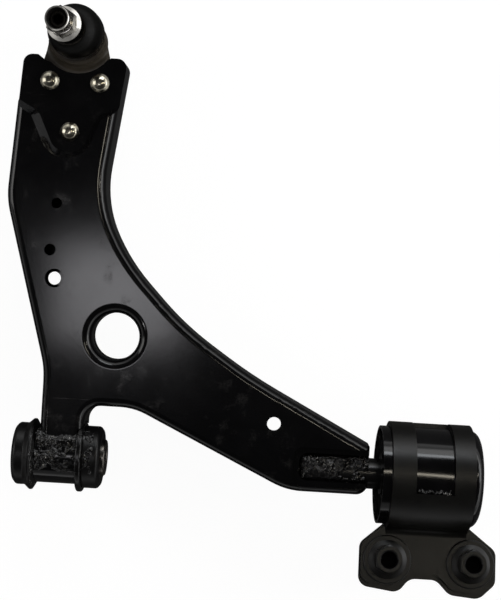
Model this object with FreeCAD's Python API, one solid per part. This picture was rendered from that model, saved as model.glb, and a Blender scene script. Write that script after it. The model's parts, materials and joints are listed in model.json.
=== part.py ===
"""Stamped lower control arm: closed two-shell arm, ball joint, front bush, rear bush with bracket.

Frame: origin at the centre of the front bush, +X along the pivot axis towards the rear bush,
+Y across towards the ball joint, +Z up along the ball stud. Units are millimetres.
"""
import FreeCAD, Part
import math, os

V = FreeCAD.Vector
X_AXIS, Y_AXIS, Z_AXIS = V(1, 0, 0), V(0, 1, 0), V(0, 0, 1)

# ---------------------------------------------------------------- fits and clearances
CONTACT = 0.05            # gap between faces that touch
TURN = 0.05               # radial running gap in the bushes
BALL_GAP = 0.04           # radial gap between the ball and its race

# ---------------------------------------------------------------- arm shells
UPPER_T, LOWER_T = 3.0, 2.5
TOP_Z, WALL_Z, LOWER_Z = 16.0, -12.0, -14.0
BEND_R = 6.5              # outside radius of the upper shell's top edge
LOWER_BEND_R = 4.5
DRAFT_INSET = 0.8         # how far the walls lean in from bottom to top
LOWER_RIM_Z = -3.0        # top of the lower shell's wall
PAD_Z = 8.0               # top of the ball joint pad
ARM_OUTLINE = [           # x, y, corner radius, at the foot of the wall
    (-14.6, -30.0, 0), (-14.6, 63.0, 60), (-48.2, 182.2, 60), (-42.2, 287.0, 7.2),
    (33.4, 287.0, 7.2), (20.4, 183.9, 84), (42.4, 142.2, 140), (83.9, 98.9, 225), (134.0, 65.5, 380),
    (222.0, 20.5, 0), (222.0, -14.8, 9), (163.6, -14.8, 50), (51.6, 37.4, 44), (17.6, 37.4, 11),
    (17.6, -30.0, 0)]
EAR_CUTS = [              # corners taken off the notch's two mouths
    [(-33.0, 292.0, 0), (-33.0, 287.4, 0), (-26.0, 282.4, 0), (-18.0, 280.0, 0), (-18.0, 292.0, 0)],
    [(22.5, 292.0, 0), (21.0, 286.6, 0), (16.8, 284.0, 0), (10.0, 280.0, 0), (10.0, 292.0, 0)]]
STEP_LINE = [             # edge of the stepped-down pad, at the pad's level
    (-70.0, 268.0, 0), (-29.0, 245.5, 9), (-16.0, 218.0, 12), (3.0, 218.0, 12), (13.0, 245.0, 10),
    (60.0, 265.0, 0), (60.0, 340.0, 0), (-70.0, 340.0, 0)]
STEP_RUN = 5.0            # the step's slope, seen from above
COLLAR_C, COLLAR_R, COLLAR_BEND = (35.8, 88.3), 16.8, 7.0
COLLAR_END_Z, LOWER_COLLAR_END_Z = 0.0, -2.0
UPPER_HOLES = [(-10.9, 180.2, 3.8), (-13.8, 147.0, 4.1), (-9.6, 127.1, 6.7), (152.0, 33.1, 4.9)]
LOWER_HOLES = [(-14.0, 127.3, 4.8), (152.6, 30.6, 5.2)]
SLOT_X, SLOT_Y0, SLOT_Y1, SLOT_R = 171.5, -6.0, 13.9, 6.5
RIM_STEP, RIM_WIDTH = 2.4, 4.0    # joggled rim round the slot

# ---------------------------------------------------------------- front bush
TUBE_R, TUBE_T, TUBE_X0, TUBE_X1 = 20.0, 2.5, -16.2, 13.3
SLEEVE_T = 1.5
COLLAR_RING_R, COLLAR_RING_W = 25.2, 4.3
INNER_R, INNER_BORE_R, INNER_X0, INNER_X1 = 13.0, 7.1, -33.2, 32.8
FRONT_LIP_R, FRONT_END_R = 25.5, 22.3
FRONT_RUBBER_X0, FRONT_RUBBER_X1 = -32.2, 30.3
WELD_LEG = 3.2

# ---------------------------------------------------------------- rear bush and bracket
PIN_R, PIN_X0, PIN_X1 = 11.0, 173.0, 297.0
CAN_R, CAN_T, CAN_X0, CAN_X1, CAN_EDGE_R = 35.0, 2.2, 229.5, 300.5, 7.0
CORE_T = 3.5
STRAP_T, STRAP_X0, STRAP_X1 = 3.5, 235.8, 293.6
WINDOW_X0, WINDOW_X1, WINDOW_Y = 252.2, 279.0, -14.5
BOSS_X, BOSS_Y = (237.6, 296.6), -60.0
BRACKET_OUTLINE = [       # plate of the bracket: x, y, corner radius
    (234.6, -36.0, 0), (219.0, -49.5, 7), (219.0, -75.5, 7), (246.0, -79.0, 8), (254.0, -69.0, 10),
    (274.0, -69.0, 10), (283.5, -78.8, 9), (303.5, -80.5, 9), (314.5, -70.0, 7), (314.5, -50.5, 7),
    (295.6, -36.0, 0)]
PAD_R, PAD_H = 17.2, 1.6
NUT_FLANGE_R, NUT_FLANGE_T, NUT_AF, NUT_H, NUT_BORE_R, NUT_MOUTH_R = 13.6, 2.2, 18.0, 12.5, 5.4, 6.6
BOLT_HOLE_R = 6.75
NUT_WEB_Z, NUT_WEB_T = 8.2, 1.2   # closed end of the nut's thread, over its seat
BRACKET_TILT = 12.0       # turn of the bracket about the pivot axis at rest, degrees

# ---------------------------------------------------------------- ball joint
JOINT_C = (-3.8, 301.5)
FLANGE_Z0, FLANGE_Z1 = -3.0, 5.0
NOTCH_R = 27.4
RIVETS = [(-22.2, 268.1), (13.6, 268.1), (-6.0, 232.2)]
RIVET_R, RIVET_HEAD_R, RIVET_HEAD_H, RIVET_FOOT_R, RIVET_FOOT_H = 4.0, 7.0, 4.2, 6.5, 3.0
HOUSING_R, HOUSING_Z0, HOUSING_Z1, RIM_R = 18.0, -21.0, 15.0, 16.6
SEAT_Z, FLARE_R = 10.5, 27.0
RACE_R, RACE_Z0, RACE_Z1 = 15.0, -14.0, 6.4
BALL_R, STUD_NECK_R = 12.5, 6.0
DISC_T, CAP_T = 1.6, 2.4
TAPER_R0, TAPER_R1, TAPER_Z0, TAPER_Z1 = 8.8, 7.6, 31.0, 52.0
THREAD_R, STUD_END_Z = 6.0, 70.5
SOCKET_AF, SOCKET_D = 6.0, 6.0
STUD_NUT_Z0, STUD_NUT_Z1, STUD_NUT_AF, COLLAR_NUT_R, COLLAR_NUT_H = 52.6, 75.0, 18.0, 8.2, 8.5
STUD_FLANGE_R, STUD_FLANGE_T = 12.0, 2.4
LEAN, LEAN_DIR = 4.5, (-0.78, -0.62)   # resting lean of the stud, degrees, and its direction
BOOT_T, BOOT_NECK_R = 1.8, 8.85
BOOT_PROFILE = [(18.4, 10.8), (18.5, 15.5), (19.2, 20.0), (18.9, 25.0), (16.6, 30.5),
                (12.8, 34.2), (11.1, 36.6), (10.9, 38.8), (10.9, 41.0)]


# ---------------------------------------------------------------- helpers
def rounded_wire(points, z):
    """Closed wire through points (x, y, r): straight sides with arcs of radius r at the corners."""
    n, edges, joints = len(points), [], []
    for i, (x, y, r) in enumerate(points):
        a, b = points[i - 1], points[(i + 1) % n]
        p = V(x, y, z)
        u, w = V(a[0] - x, a[1] - y, 0), V(b[0] - x, b[1] - y, 0)
        u.normalize(); w.normalize()
        if r == 0:
            joints.append((p, None, p))
            continue
        half = u.getAngle(w) / 2
        along = r / math.tan(half)
        mid = (u + w); mid.normalize()
        joints.append((p + u * along, p + mid * (r / math.sin(half) - r), p + w * along))
    for i in range(n):
        start, mid, end = joints[i]
        if mid is not None:
            edges.append(Part.Arc(start, mid, end).toShape())
        after = joints[(i + 1) % n][0]
        if end.distanceToPoint(after) > 1e-5:
            edges.append(Part.makeLine(end, after))
    return Part.Wire(edges)


def offset(wire, distance):
    return wire if distance == 0 else wire.makeOffset2D(distance, 0)


def slab(points, z0, z1, grow=0.0):
    return Part.Face(offset(rounded_wire(points, z0), grow)).extrude(V(0, 0, z1 - z0))


def at_height(wire, z):
    moved = wire.copy()
    moved.translate(V(0, 0, z - wire.BoundBox.ZMin))
    return moved


def drafted(points, z0, z1, grow0, grow1):
    """Solid between the outline grown by grow0 at z0 and by grow1 at z1."""
    low = offset(rounded_wire(points, 0), grow0)
    high = offset(rounded_wire(points, 0), grow1)
    return Part.makeLoft([at_height(low, z0), at_height(high, z1)], True, True)


def round_level(shape, z, radius):
    """Round every edge that lies wholly at height z."""
    edges = [e for e in shape.Edges if abs(e.BoundBox.ZMin - z) < 1e-4 and abs(e.BoundBox.ZMax - z) < 1e-4]
    return shape.makeFillet(radius, edges)


def revolved(profile, centre=(0.0, 0.0)):
    """Solid of revolution of a closed (r, z) polygon about the vertical through centre."""
    pts = [V(centre[0] + r, centre[1], z) for r, z in profile]
    face = Part.Face(Part.makePolygon(pts + pts[:1]))
    return face.revolve(V(centre[0], centre[1], 0), Z_AXIS, 360)


def turned(profile):
    """Solid of revolution of a closed (x, r) polygon about the pivot axis."""
    pts = [V(x, 0, r) for x, r in profile]
    face = Part.Face(Part.makePolygon(pts + pts[:1]))
    return face.revolve(V(0, 0, 0), X_AXIS, 360)


def rod(r, x0, x1):
    return Part.makeCylinder(r, x1 - x0, V(x0, 0, 0), X_AXIS)


def pipe(r_out, r_in, x0, x1):
    return rod(r_out, x0, x1).cut(rod(r_in, x0 - 1, x1 + 1))


def drill(x, y, r, z0=-60.0, z1=120.0):
    return Part.makeCylinder(r, z1 - z0, V(x, y, z0))


def box(x0, x1, y0, y1, z0, z1):
    return Part.makeBox(x1 - x0, y1 - y0, z1 - z0, V(x0, y0, z0))


def arc_points(cr, cz, radius, a0, a1, n=8):
    """Points on an arc in the (r, z) plane, angles in degrees."""
    return [(cr + radius * math.cos(math.radians(a0 + (a1 - a0) * i / n)),
             cz + radius * math.sin(math.radians(a0 + (a1 - a0) * i / n))) for i in range(n + 1)]


def hex_prism(x, y, across_flats, z0, z1):
    radius = across_flats / math.sqrt(3)
    pts = [V(x + radius * math.cos(math.radians(60 * i + 30)),
             y + radius * math.sin(math.radians(60 * i + 30)), z0) for i in range(6)]
    return Part.Face(Part.makePolygon(pts + pts[:1])).extrude(V(0, 0, z1 - z0))


def leaned(shape):
    """Lean a shape of the stud's group about the ball's centre."""
    out = shape.copy()
    out.rotate(V(JOINT_C[0], JOINT_C[1], 0), V(-LEAN_DIR[1], LEAN_DIR[0], 0), LEAN)
    return out


def tilted(shape):
    """Turn a shape of the rear bracket's group about the pivot axis."""
    out = shape.copy()
    out.rotate(V(0, 0, 0), X_AXIS, -BRACKET_TILT)
    return out


def largest(shape):
    return max(shape.Solids, key=lambda s: s.Volume)


# ---------------------------------------------------------------- arm shells
def shell_block(top, foot, pad, inset, radius, step_grow):
    """Filled block of a shell: a high body and a low pad, both with rounded upper edges.

    top, foot and pad are heights, inset the side clearance, step_grow how far the pad's edge
    is pushed out at its own level.
    """
    lean = DRAFT_INSET * (top - foot) / (TOP_Z - WALL_Z)
    body = round_level(drafted(ARM_OUTLINE, foot, top, -inset, -inset - lean), top, radius)
    tool = drafted(STEP_LINE, pad, top + 1, step_grow, step_grow + STEP_RUN * (top + 1 - pad) / (TOP_Z - PAD_Z))
    low_lean = DRAFT_INSET * (pad - foot) / (TOP_Z - WALL_Z)
    low = round_level(drafted(ARM_OUTLINE, foot, pad, -inset, -inset - low_lean), pad, radius)
    return body.cut(tool).fuse(low)


def collar(z_plate, thickness, z_end, up):
    """Drawn collar of the big hole: a rounded funnel that ends in a short tube."""
    s = 1 if up else -1
    cr, cz = COLLAR_R + COLLAR_BEND, z_plate - s * COLLAR_BEND
    outer = arc_points(cr, cz, COLLAR_BEND, s * 90, 180 if up else -180)
    inner = arc_points(cr, cz, COLLAR_BEND - thickness, s * 90, 180 if up else -180)
    return revolved(outer + [(COLLAR_R, z_end), (COLLAR_R + thickness, z_end)] + inner[::-1], COLLAR_C)


def clear_of_tube(shape):
    """Saddle the neck on the front tube: cut away the tube, its collar ring and all below it."""
    shape = shape.cut(rod(TUBE_R + CONTACT, -80.0, 60.0))
    shape = shape.cut(rod(COLLAR_RING_R + 0.7, TUBE_X1 - 0.5, 60.0))
    return largest(shape.cut(box(-40, 60, -60, 0, -40, 40).common(box(-40, 60, -60, 0, -40, 40))))


def open_end(shape):
    """Round notch for the ball joint, with its two mouths eased."""
    shape = shape.cut(drill(JOINT_C[0], JOINT_C[1], NOTCH_R))
    for points in EAR_CUTS:
        shape = shape.cut(slab(points, -40.0, 40.0))
    return shape


def slot_points(grow):
    return [(SLOT_X - grow, SLOT_Y0 - grow, SLOT_R), (260.0, SLOT_Y0 - grow, 0),
            (260.0, SLOT_Y1 + grow, 0), (SLOT_X - grow, SLOT_Y1 + grow, SLOT_R)]


def upper_shell():
    outer = shell_block(TOP_Z, WALL_Z, PAD_Z, 0.0, BEND_R, 0.0)
    inner = shell_block(TOP_Z - UPPER_T, WALL_Z - 1, PAD_Z - UPPER_T, UPPER_T, BEND_R - UPPER_T, 1.5)
    rim = slab(slot_points(RIM_WIDTH), TOP_Z - RIM_STEP, TOP_Z + 5)
    under = slab(slot_points(RIM_WIDTH + UPPER_T * 0.8), TOP_Z - RIM_STEP - UPPER_T, TOP_Z - RIM_STEP + 3)
    shape = outer.cut(rim).cut(inner.cut(under))
    shape = shape.cut(slab(slot_points(0.0), 2.0, TOP_Z + 5))
    shape = shape.cut(rod(PIN_R + CONTACT, SLOT_X, 260.0))
    shape = clear_of_tube(shape)
    shape = shape.cut(drill(COLLAR_C[0], COLLAR_C[1], COLLAR_R + COLLAR_BEND, 5.0, 40.0))
    shape = shape.fuse(collar(TOP_Z, UPPER_T, COLLAR_END_Z, True))
    for x, y, r in UPPER_HOLES:
        shape = shape.cut(drill(x, y, r, 0.0, 40.0))
    shape = open_end(shape)
    shape = shape.cut(flange_block(FLANGE_Z0 - 20.0, FLANGE_Z1, 1.0))
    for x, y in RIVETS:
        shape = shape.cut(drill(x, y, RIVET_R + CONTACT))
    return largest(shape.removeSplitter())


def lower_block(inset, floor, thickness_step):
    """Filled block of the lower shell, built upside down: floor is its lowest face."""
    grow = -UPPER_T - CONTACT - inset
    body = round_level(drafted(ARM_OUTLINE, floor, LOWER_RIM_Z, grow - 0.3, grow - 0.6), floor, LOWER_BEND_R - inset)
    tool = drafted(STEP_LINE, -60.0, FLANGE_Z0 - CONTACT - LOWER_T + thickness_step,
                   STEP_RUN + inset, STEP_RUN + inset)
    return body.cut(tool)


def lower_shell():
    outer = lower_block(0.0, LOWER_Z, 0.0)
    pad_top, pad_low = FLANGE_Z0 - CONTACT, FLANGE_Z0 - CONTACT - LOWER_T
    body = outer.cut(lower_block(LOWER_T, LOWER_Z + LOWER_T, LOWER_T))
    above = box(-80, 80, 200, 320, pad_top, 20.0).common(slab(STEP_LINE, -40.0, 20.0, STEP_RUN))
    shape = body.cut(above)
    shape = shape.cut(rod(PIN_R + CONTACT, SLOT_X - 2, 260.0))
    shape = clear_of_tube(shape)
    shape = shape.cut(drill(COLLAR_C[0], COLLAR_C[1], COLLAR_R + COLLAR_BEND, -40.0, 0.0))
    shape = shape.fuse(collar(LOWER_Z, LOWER_T, LOWER_COLLAR_END_Z, False))
    for x, y, r in LOWER_HOLES:
        shape = shape.cut(drill(x, y, r, -40.0, 0.0))
    shape = open_end(shape)
    for x, y in RIVETS:
        shape = shape.cut(drill(x, y, RIVET_R + CONTACT))
    return largest(shape.removeSplitter())


def seam_weld():
    """Bead in the groove between the upper shell's foot and the lower shell's bend."""
    core = slab(ARM_OUTLINE, LOWER_Z - 1, 0.0, -UPPER_T - 2.6)
    below = slab(ARM_OUTLINE, LOWER_Z + 0.3, WALL_Z - CONTACT, -0.4)
    inside = slab(ARM_OUTLINE, WALL_Z - CONTACT, WALL_Z + 2.2, -UPPER_T - CONTACT - DRAFT_INSET / 8)
    keep = box(-60, 221.5, 28, 262, -40, 20).cut(box(-60, 60, 8, 42, -40, 20))
    filled = lower_block(-2 * CONTACT, LOWER_Z - 2 * CONTACT, 0.0)
    bead = below.fuse(inside).cut(core).common(keep).cut(filled)
    return [p for p in bead.Solids if p.Volume > 40.0]


# ---------------------------------------------------------------- front bush
def front_tube():
    return pipe(TUBE_R, TUBE_R - TUBE_T, TUBE_X0, TUBE_X1)


def front_weld():
    """Fillet bead where the arm's neck meets the tube."""
    x1 = TUBE_X1 - 0.15
    block = box(TUBE_X0 + 0.2, x1, 3.0, 40.0, -19.0, TOP_Z + WELD_LEG)
    ring = pipe(TUBE_R + WELD_LEG, TUBE_R + CONTACT, TUBE_X0, x1).common(block)
    top = TOP_Z + CONTACT
    filled = round_level(drafted(ARM_OUTLINE, LOWER_Z, top, CONTACT, CONTACT - DRAFT_INSET), top, BEND_R)
    bead = ring.cut(filled)
    return [s for s in bead.Solids if s.Volume > 15.0]


def front_sleeve():
    """Thin outer sleeve of the bush with its rolled collar at the inner end."""
    r1, r0 = TUBE_R - TUBE_T - 0.02, TUBE_R - TUBE_T - SLEEVE_T
    x1, x2 = TUBE_X1 + CONTACT, TUBE_X1 + COLLAR_RING_W
    body = pipe(r1, r0, TUBE_X0, x1)
    ring = pipe(COLLAR_RING_R, r0, x1, x2)
    edges = [e for e in ring.Edges if abs(e.BoundBox.ZMax - COLLAR_RING_R) < 0.1]
    return body.fuse(ring.makeFillet(1.4, edges)).removeSplitter()


def front_rubber():
    r_core, r_in = INNER_R + TURN, TUBE_R - TUBE_T - SLEEVE_T - 0.02
    x0, x1 = FRONT_RUBBER_X0, FRONT_RUBBER_X1
    ring_x = TUBE_X1 + COLLAR_RING_W + CONTACT
    lip_x = (TUBE_X0 - CONTACT, TUBE_X0 - 3.6, TUBE_X0 - 7.6)
    profile = [(x0, r_core), (x0, 19.2), (x0 + 0.9, 21.2), (x0 + 3.0, FRONT_END_R),
               (lip_x[2], FRONT_END_R), (lip_x[1] - 0.5, FRONT_LIP_R), (lip_x[1] + 0.8, FRONT_LIP_R),
               (lip_x[0], TUBE_R + 1.0), (lip_x[0], r_in), (ring_x, r_in),
               (ring_x, FRONT_END_R - 0.3), (ring_x + 1.2, FRONT_END_R), (x1 - 3.0, FRONT_END_R),
               (x1 - 0.9, 21.2), (x1, 19.2), (x1, r_core)]
    return turned(profile)


def front_inner_sleeve():
    tube = pipe(INNER_R, INNER_BORE_R, INNER_X0, INNER_X1)
    edges = [e for e in tube.Edges if e.Length > 2 * math.pi * INNER_BORE_R * 0.9 and e.BoundBox.XLength < 0.01]
    return tube.makeChamfer(0.8, edges)


# ---------------------------------------------------------------- rear bush
def rear_pin():
    pin = rod(PIN_R, PIN_X0, PIN_X1)
    return pin.makeChamfer(1.2, [e for e in pin.Edges if e.BoundBox.XLength < 0.01])


def rear_pin_weld(upper):
    """Deposit that fills the slot on both sides of the pin."""
    fill = slab(slot_points(-CONTACT), 5.0, TOP_Z - RIM_STEP - 2.2).common(box(160, 221.5, -20, 20, 0, 20))
    fill = fill.cut(rod(PIN_R + CONTACT, SLOT_X - 5, 240.0)).cut(upper)
    return [s for s in fill.Solids if s.Volume > 20.0]


def rear_core():
    return pipe(PIN_R + CONTACT + CORE_T, PIN_R + CONTACT, CAN_X0 + 1.5, PIN_X1 - 1.5)


def rear_can():
    solid = rod(CAN_R, CAN_X0, CAN_X1)
    solid = solid.makeFillet(CAN_EDGE_R, [e for e in solid.Edges if e.BoundBox.XMin > CAN_X1 - 0.1 and
                                          e.BoundBox.XLength < 0.01])
    hollow = rod(CAN_R - CAN_T, CAN_X0 - 1, CAN_X1 - CAN_T)
    hollow = hollow.makeFillet(CAN_EDGE_R - CAN_T, [e for e in hollow.Edges if
                               e.BoundBox.XMin > CAN_X1 - CAN_T - 0.1 and e.BoundBox.XLength < 0.01])
    return solid.cut(hollow)


def rear_rubber():
    r0, r1 = PIN_R + CONTACT + CORE_T + TURN, CAN_R - CAN_T - 0.02
    x0, x1 = CAN_X0 + 2.5, PIN_X1 - 3.0
    profile = [(x0 + 3.0, r0), (x0, r0 + 2.0), (x0 + 4.0, (r0 + r1) / 2), (x0 + 0.5, r1 - 3.0), (x0 + 1.5, r1),
               (x1 - 1.5, r1), (x1, r1 - 3.0), (x1 - 4.0, (r0 + r1) / 2), (x1, r0 + 2.0), (x1 - 3.0, r0)]
    return turned(profile)


def plate_outline(z0, z1, grow, drop):
    """Plate of a bracket leaf with its two squared lobes; drop lowers all that is below the bolts."""
    points = [(x, y - (drop if y < BOSS_Y else 0.0), r) for x, y, r in BRACKET_OUTLINE]
    return slab(points, z0, z1, grow)


def strap_leaf(up, grow, drop):
    """Half of the strap round the can, with its plate; the upper leaf has the window."""
    s = 1 if up else -1
    r0, r1 = CAN_R + CONTACT, CAN_R + CONTACT + STRAP_T
    half = pipe(r1, r0, STRAP_X0, STRAP_X1)
    gap = 0.4
    keep = box(200, 330, -60, 60, gap, 60) if up else box(200, 330, -60, 60, -60, -gap)
    half = half.common(keep)
    z0, z1 = (CONTACT / 2, STRAP_T) if up else (-STRAP_T, -CONTACT / 2)
    plate = plate_outline(z0, z1, grow, drop).cut(rod(CAN_R + CONTACT, 200, 330))
    leaf = half.fuse(plate).removeSplitter()
    seam = [e for e in leaf.Edges if e.BoundBox.YMax < -CAN_R and abs(e.BoundBox.YLength) < 0.02 and
            e.BoundBox.XLength > 20 and abs(abs(e.BoundBox.ZMin) - STRAP_T) < 0.02 and e.BoundBox.ZLength < 0.02
            and e.BoundBox.YMin > -CAN_R - STRAP_T - 1.0]
    if seam:
        leaf = leaf.makeFillet(3.0, seam)
    if up:
        leaf = leaf.cut(box(WINDOW_X0, WINDOW_X1, WINDOW_Y, 60, 2.0, 60))
        leaf = leaf.cut(box(WINDOW_X0, WINDOW_X1, 10, 60, -2.0, 60))
    for x in BOSS_X:
        leaf = leaf.cut(drill(x, BOSS_Y, BOLT_HOLE_R))
    return leaf


def upper_leaf():
    leaf = strap_leaf(True, 0.0, 0.0)
    for x in BOSS_X:
        ring = drill(x, BOSS_Y, PAD_R, STRAP_T - 0.5, STRAP_T + PAD_H)
        ring = ring.makeFillet(1.2, [e for e in ring.Edges if abs(e.BoundBox.ZMin - STRAP_T - PAD_H) < 1e-4])
        leaf = leaf.fuse(ring).cut(drill(x, BOSS_Y, BOLT_HOLE_R))
    return largest(leaf.removeSplitter())


def lower_leaf():
    return largest(strap_leaf(False, 0.8, 2.6))


def bracket_nuts():
    nuts = []
    z0 = STRAP_T + PAD_H + CONTACT
    for x in BOSS_X:
        nut = hex_prism(x, BOSS_Y, NUT_AF, z0, z0 + NUT_H)
        cone = revolved([(0, z0), (NUT_FLANGE_R + 2, z0), (NUT_FLANGE_R + 2, z0 + NUT_H - 3.2),
                         (NUT_AF / 2 - 0.6, z0 + NUT_H), (0, z0 + NUT_H)], (x, BOSS_Y))
        flange = revolved([(0, z0), (NUT_FLANGE_R, z0), (NUT_FLANGE_R, z0 + 1.0),
                           (NUT_AF / 2 + 0.6, z0 + NUT_FLANGE_T + 0.8), (0, z0 + NUT_FLANGE_T + 0.8)], (x, BOSS_Y))
        mouth = revolved([(0, z0 + NUT_H + 0.5), (NUT_MOUTH_R + 0.5, z0 + NUT_H + 0.5),
                          (NUT_BORE_R, z0 + NUT_H - (NUT_MOUTH_R - NUT_BORE_R)),
                          (NUT_BORE_R, z0 + NUT_WEB_Z + NUT_WEB_T), (0, z0 + NUT_WEB_Z + NUT_WEB_T)], (x, BOSS_Y))
        thread = drill(x, BOSS_Y, NUT_BORE_R, z0 - 1.0, z0 + NUT_WEB_Z)
        nuts.append(nut.common(cone).fuse(flange).cut(mouth).cut(thread).removeSplitter())
    return nuts


def window_weld():
    """Weld run along the lower edge of the bracket's window."""
    a = math.degrees(math.asin(-WINDOW_Y / (CAN_R + 1.5)))
    r = CAN_R + 1.2
    y, z = -r * math.sin(math.radians(a - 2.6)), r * math.cos(math.radians(a - 2.6))
    bead = Part.makeCylinder(2.4, WINDOW_X1 - WINDOW_X0 - 1.4, V(WINDOW_X0 + 0.7, y, z), X_AXIS)
    bead = bead.cut(rod(CAN_R + CONTACT, 200, 330))
    wall = pipe(CAN_R + 2 * CONTACT + STRAP_T, CAN_R, STRAP_X0, STRAP_X1).common(
        box(200, 330, -60, WINDOW_Y + CONTACT, 0, 60))
    return largest(bead.cut(wall))


# ---------------------------------------------------------------- ball joint
def tangent_quad(c1, r1, c2, r2, z):
    """Quadrilateral between the outer tangents of two circles."""
    dx, dy = c2[0] - c1[0], c2[1] - c1[1]
    d, base = math.hypot(dx, dy), math.atan2(dy, dx)
    side = math.acos((r1 - r2) / d)
    pts = []
    for c, r, sign in ((c1, r1, 1), (c2, r2, 1), (c2, r2, -1), (c1, r1, -1)):
        pts.append(V(c[0] + r * math.cos(base + sign * side), c[1] + r * math.sin(base + sign * side), z))
    return Part.Face(Part.makePolygon(pts + pts[:1]))


def flange_block(z0, z1, grow):
    """Plan of the riveted flange: round the joint, out to the three rivets."""
    circles = [((JOINT_C[0], JOINT_C[1]), HOUSING_R + 0.4 + grow)] + [((x, y), 9.6 + grow) for x, y in RIVETS]
    order = [(0, 1), (0, 2), (1, 3), (2, 3), (1, 2), (0, 3)]
    shape = None
    for c, r in circles:
        disc = drill(c[0], c[1], r, z0, z1)
        shape = disc if shape is None else shape.fuse(disc)
    for i, j in order:
        quad = tangent_quad(*circles[i], *circles[j], z0).extrude(V(0, 0, z1 - z0))
        shape = shape.fuse(quad)
    return shape.removeSplitter()


def ball_joint_housing():
    cx = JOINT_C
    flange = flange_block(FLANGE_Z0 + CONTACT, FLANGE_Z1 - CONTACT, 0.0)
    flare_profile = [(0, FLANGE_Z1 - 1)] + [(FLARE_R, FLANGE_Z1 - 1)] + arc_points(
        FLARE_R, SEAT_Z, SEAT_Z - FLANGE_Z1 + CONTACT, 270, 180, 8) + [(0, SEAT_Z)]
    flare = revolved(flare_profile, cx).common(flange_block(FLANGE_Z1 - 1, SEAT_Z + 5, 0.0))
    body = revolved([(0, HOUSING_Z0), (HOUSING_R - 1.5, HOUSING_Z0), (HOUSING_R, HOUSING_Z0 + 1.5),
                     (HOUSING_R, SEAT_Z), (RIM_R - 0.8, SEAT_Z), (RIM_R - 0.8, HOUSING_Z1 - 2.0),
                     (RIM_R, HOUSING_Z1 - 1.6), (RIM_R, HOUSING_Z1), (0, HOUSING_Z1)], cx)
    shape = body.fuse(flange).fuse(flare)
    cavity = revolved([(0, HOUSING_Z0 - 1), (HOUSING_R - 2.2, HOUSING_Z0 - 1), (HOUSING_R - 2.2, HOUSING_Z0 + CAP_T + 0.6),
                       (RACE_R + 0.02, HOUSING_Z0 + CAP_T + 0.6), (RACE_R + 0.02, RACE_Z1 + 0.03), (12.6, RACE_Z1 + 0.03),
                       (15.2, HOUSING_Z1 + 0.1), (0, HOUSING_Z1 + 0.1)], cx)
    shape = shape.cut(cavity)
    for x, y in RIVETS:
        shape = shape.cut(drill(x, y, RIVET_R + CONTACT, -10.0, 10.0))
    return largest(shape.removeSplitter())


def ball_joint_race():
    cx = JOINT_C
    body = revolved([(0, RACE_Z0), (RACE_R, RACE_Z0), (RACE_R, RACE_Z1), (0, RACE_Z1)], cx)
    ball = Part.makeSphere(BALL_R + BALL_GAP, V(cx[0], cx[1], 0))
    return largest(body.cut(ball).cut(drill(cx[0], cx[1], 10.8, 2.0, 20.0)).cut(drill(cx[0], cx[1], 3.0, -30.0, -2.0)))


def preload_disc():
    z1 = RACE_Z0 - CONTACT
    return revolved([(2.5, z1 - DISC_T - 1.2), (13.0, z1 - DISC_T), (RACE_R - 0.5, z1 - DISC_T), (RACE_R - 0.5, z1), (13.0, z1),
                     (2.5, z1 - 1.2)], JOINT_C)


def closing_cap():
    z0 = HOUSING_Z0 + 0.5
    return revolved([(0, z0), (HOUSING_R - 2.3, z0), (HOUSING_R - 2.3, z0 + CAP_T), (10.0, z0 + CAP_T),
                     (6.0, z0 + CAP_T + 0.2), (0, z0 + CAP_T + 0.2)], JOINT_C)


def rivets():
    out = []
    top, foot = PAD_Z + CONTACT, FLANGE_Z0 - CONTACT - LOWER_T - CONTACT
    for x, y in RIVETS:
        dome_r = (RIVET_HEAD_R ** 2 + RIVET_HEAD_H ** 2) / (2 * RIVET_HEAD_H)
        angle = math.degrees(math.asin(RIVET_HEAD_R / dome_r))
        head = revolved([(0, top)] + arc_points(0, top + RIVET_HEAD_H - dome_r, dome_r, 90 - angle, 90, 10), (x, y))
        low = revolved([(0, foot - RIVET_FOOT_H), (RIVET_FOOT_R - 1.5, foot - RIVET_FOOT_H),
                        (RIVET_FOOT_R, foot - RIVET_FOOT_H + 1.2), (RIVET_FOOT_R, foot), (0, foot)], (x, y))
        out.append(drill(x, y, RIVET_R, foot, top).fuse([head, low]).removeSplitter())
    return out


def boot_section(r, z, z_low=16.0, z_high=37.0):
    """Circle of the boot at height z; its plane and centre lean more and more towards the stud."""
    t = min(max((z - z_low) / (z_high - z_low), 0.0), 1.0)
    t = t * t * (3 - 2 * t)
    circle = Part.Wire(Part.makeCircle(r, V(JOINT_C[0], JOINT_C[1], z)))
    circle.rotate(V(JOINT_C[0], JOINT_C[1], 0), V(-LEAN_DIR[1], LEAN_DIR[0], 0), LEAN * t)
    return circle


def boot():
    outer = Part.makeLoft([boot_section(r, z) for r, z in BOOT_PROFILE], True, True)
    inner_profile = [(RIM_R + 0.03, BOOT_PROFILE[0][1] - 0.5)] + [
        (max(r - BOOT_T, TAPER_R0 + 0.2), z) for r, z in BOOT_PROFILE[1:-1]] + [(TAPER_R0 + 0.2, BOOT_PROFILE[-1][1] + 0.5)]
    inner = Part.makeLoft([boot_section(r, z) for r, z in inner_profile], True, True)
    return largest(outer.cut(inner))


def base_clip():
    r = BOOT_PROFILE[0][0] + 0.1
    return revolved([(r, 11.8), (r + 0.9, 11.8), (r + 0.9, 14.2), (r, 14.2)], JOINT_C)


def neck_clip():
    r = BOOT_PROFILE[-1][0] + 0.2
    return leaned(revolved([(r, 37.8), (r + 0.9, 37.8), (r + 0.9, 40.2), (r, 40.2)], JOINT_C))


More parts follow.
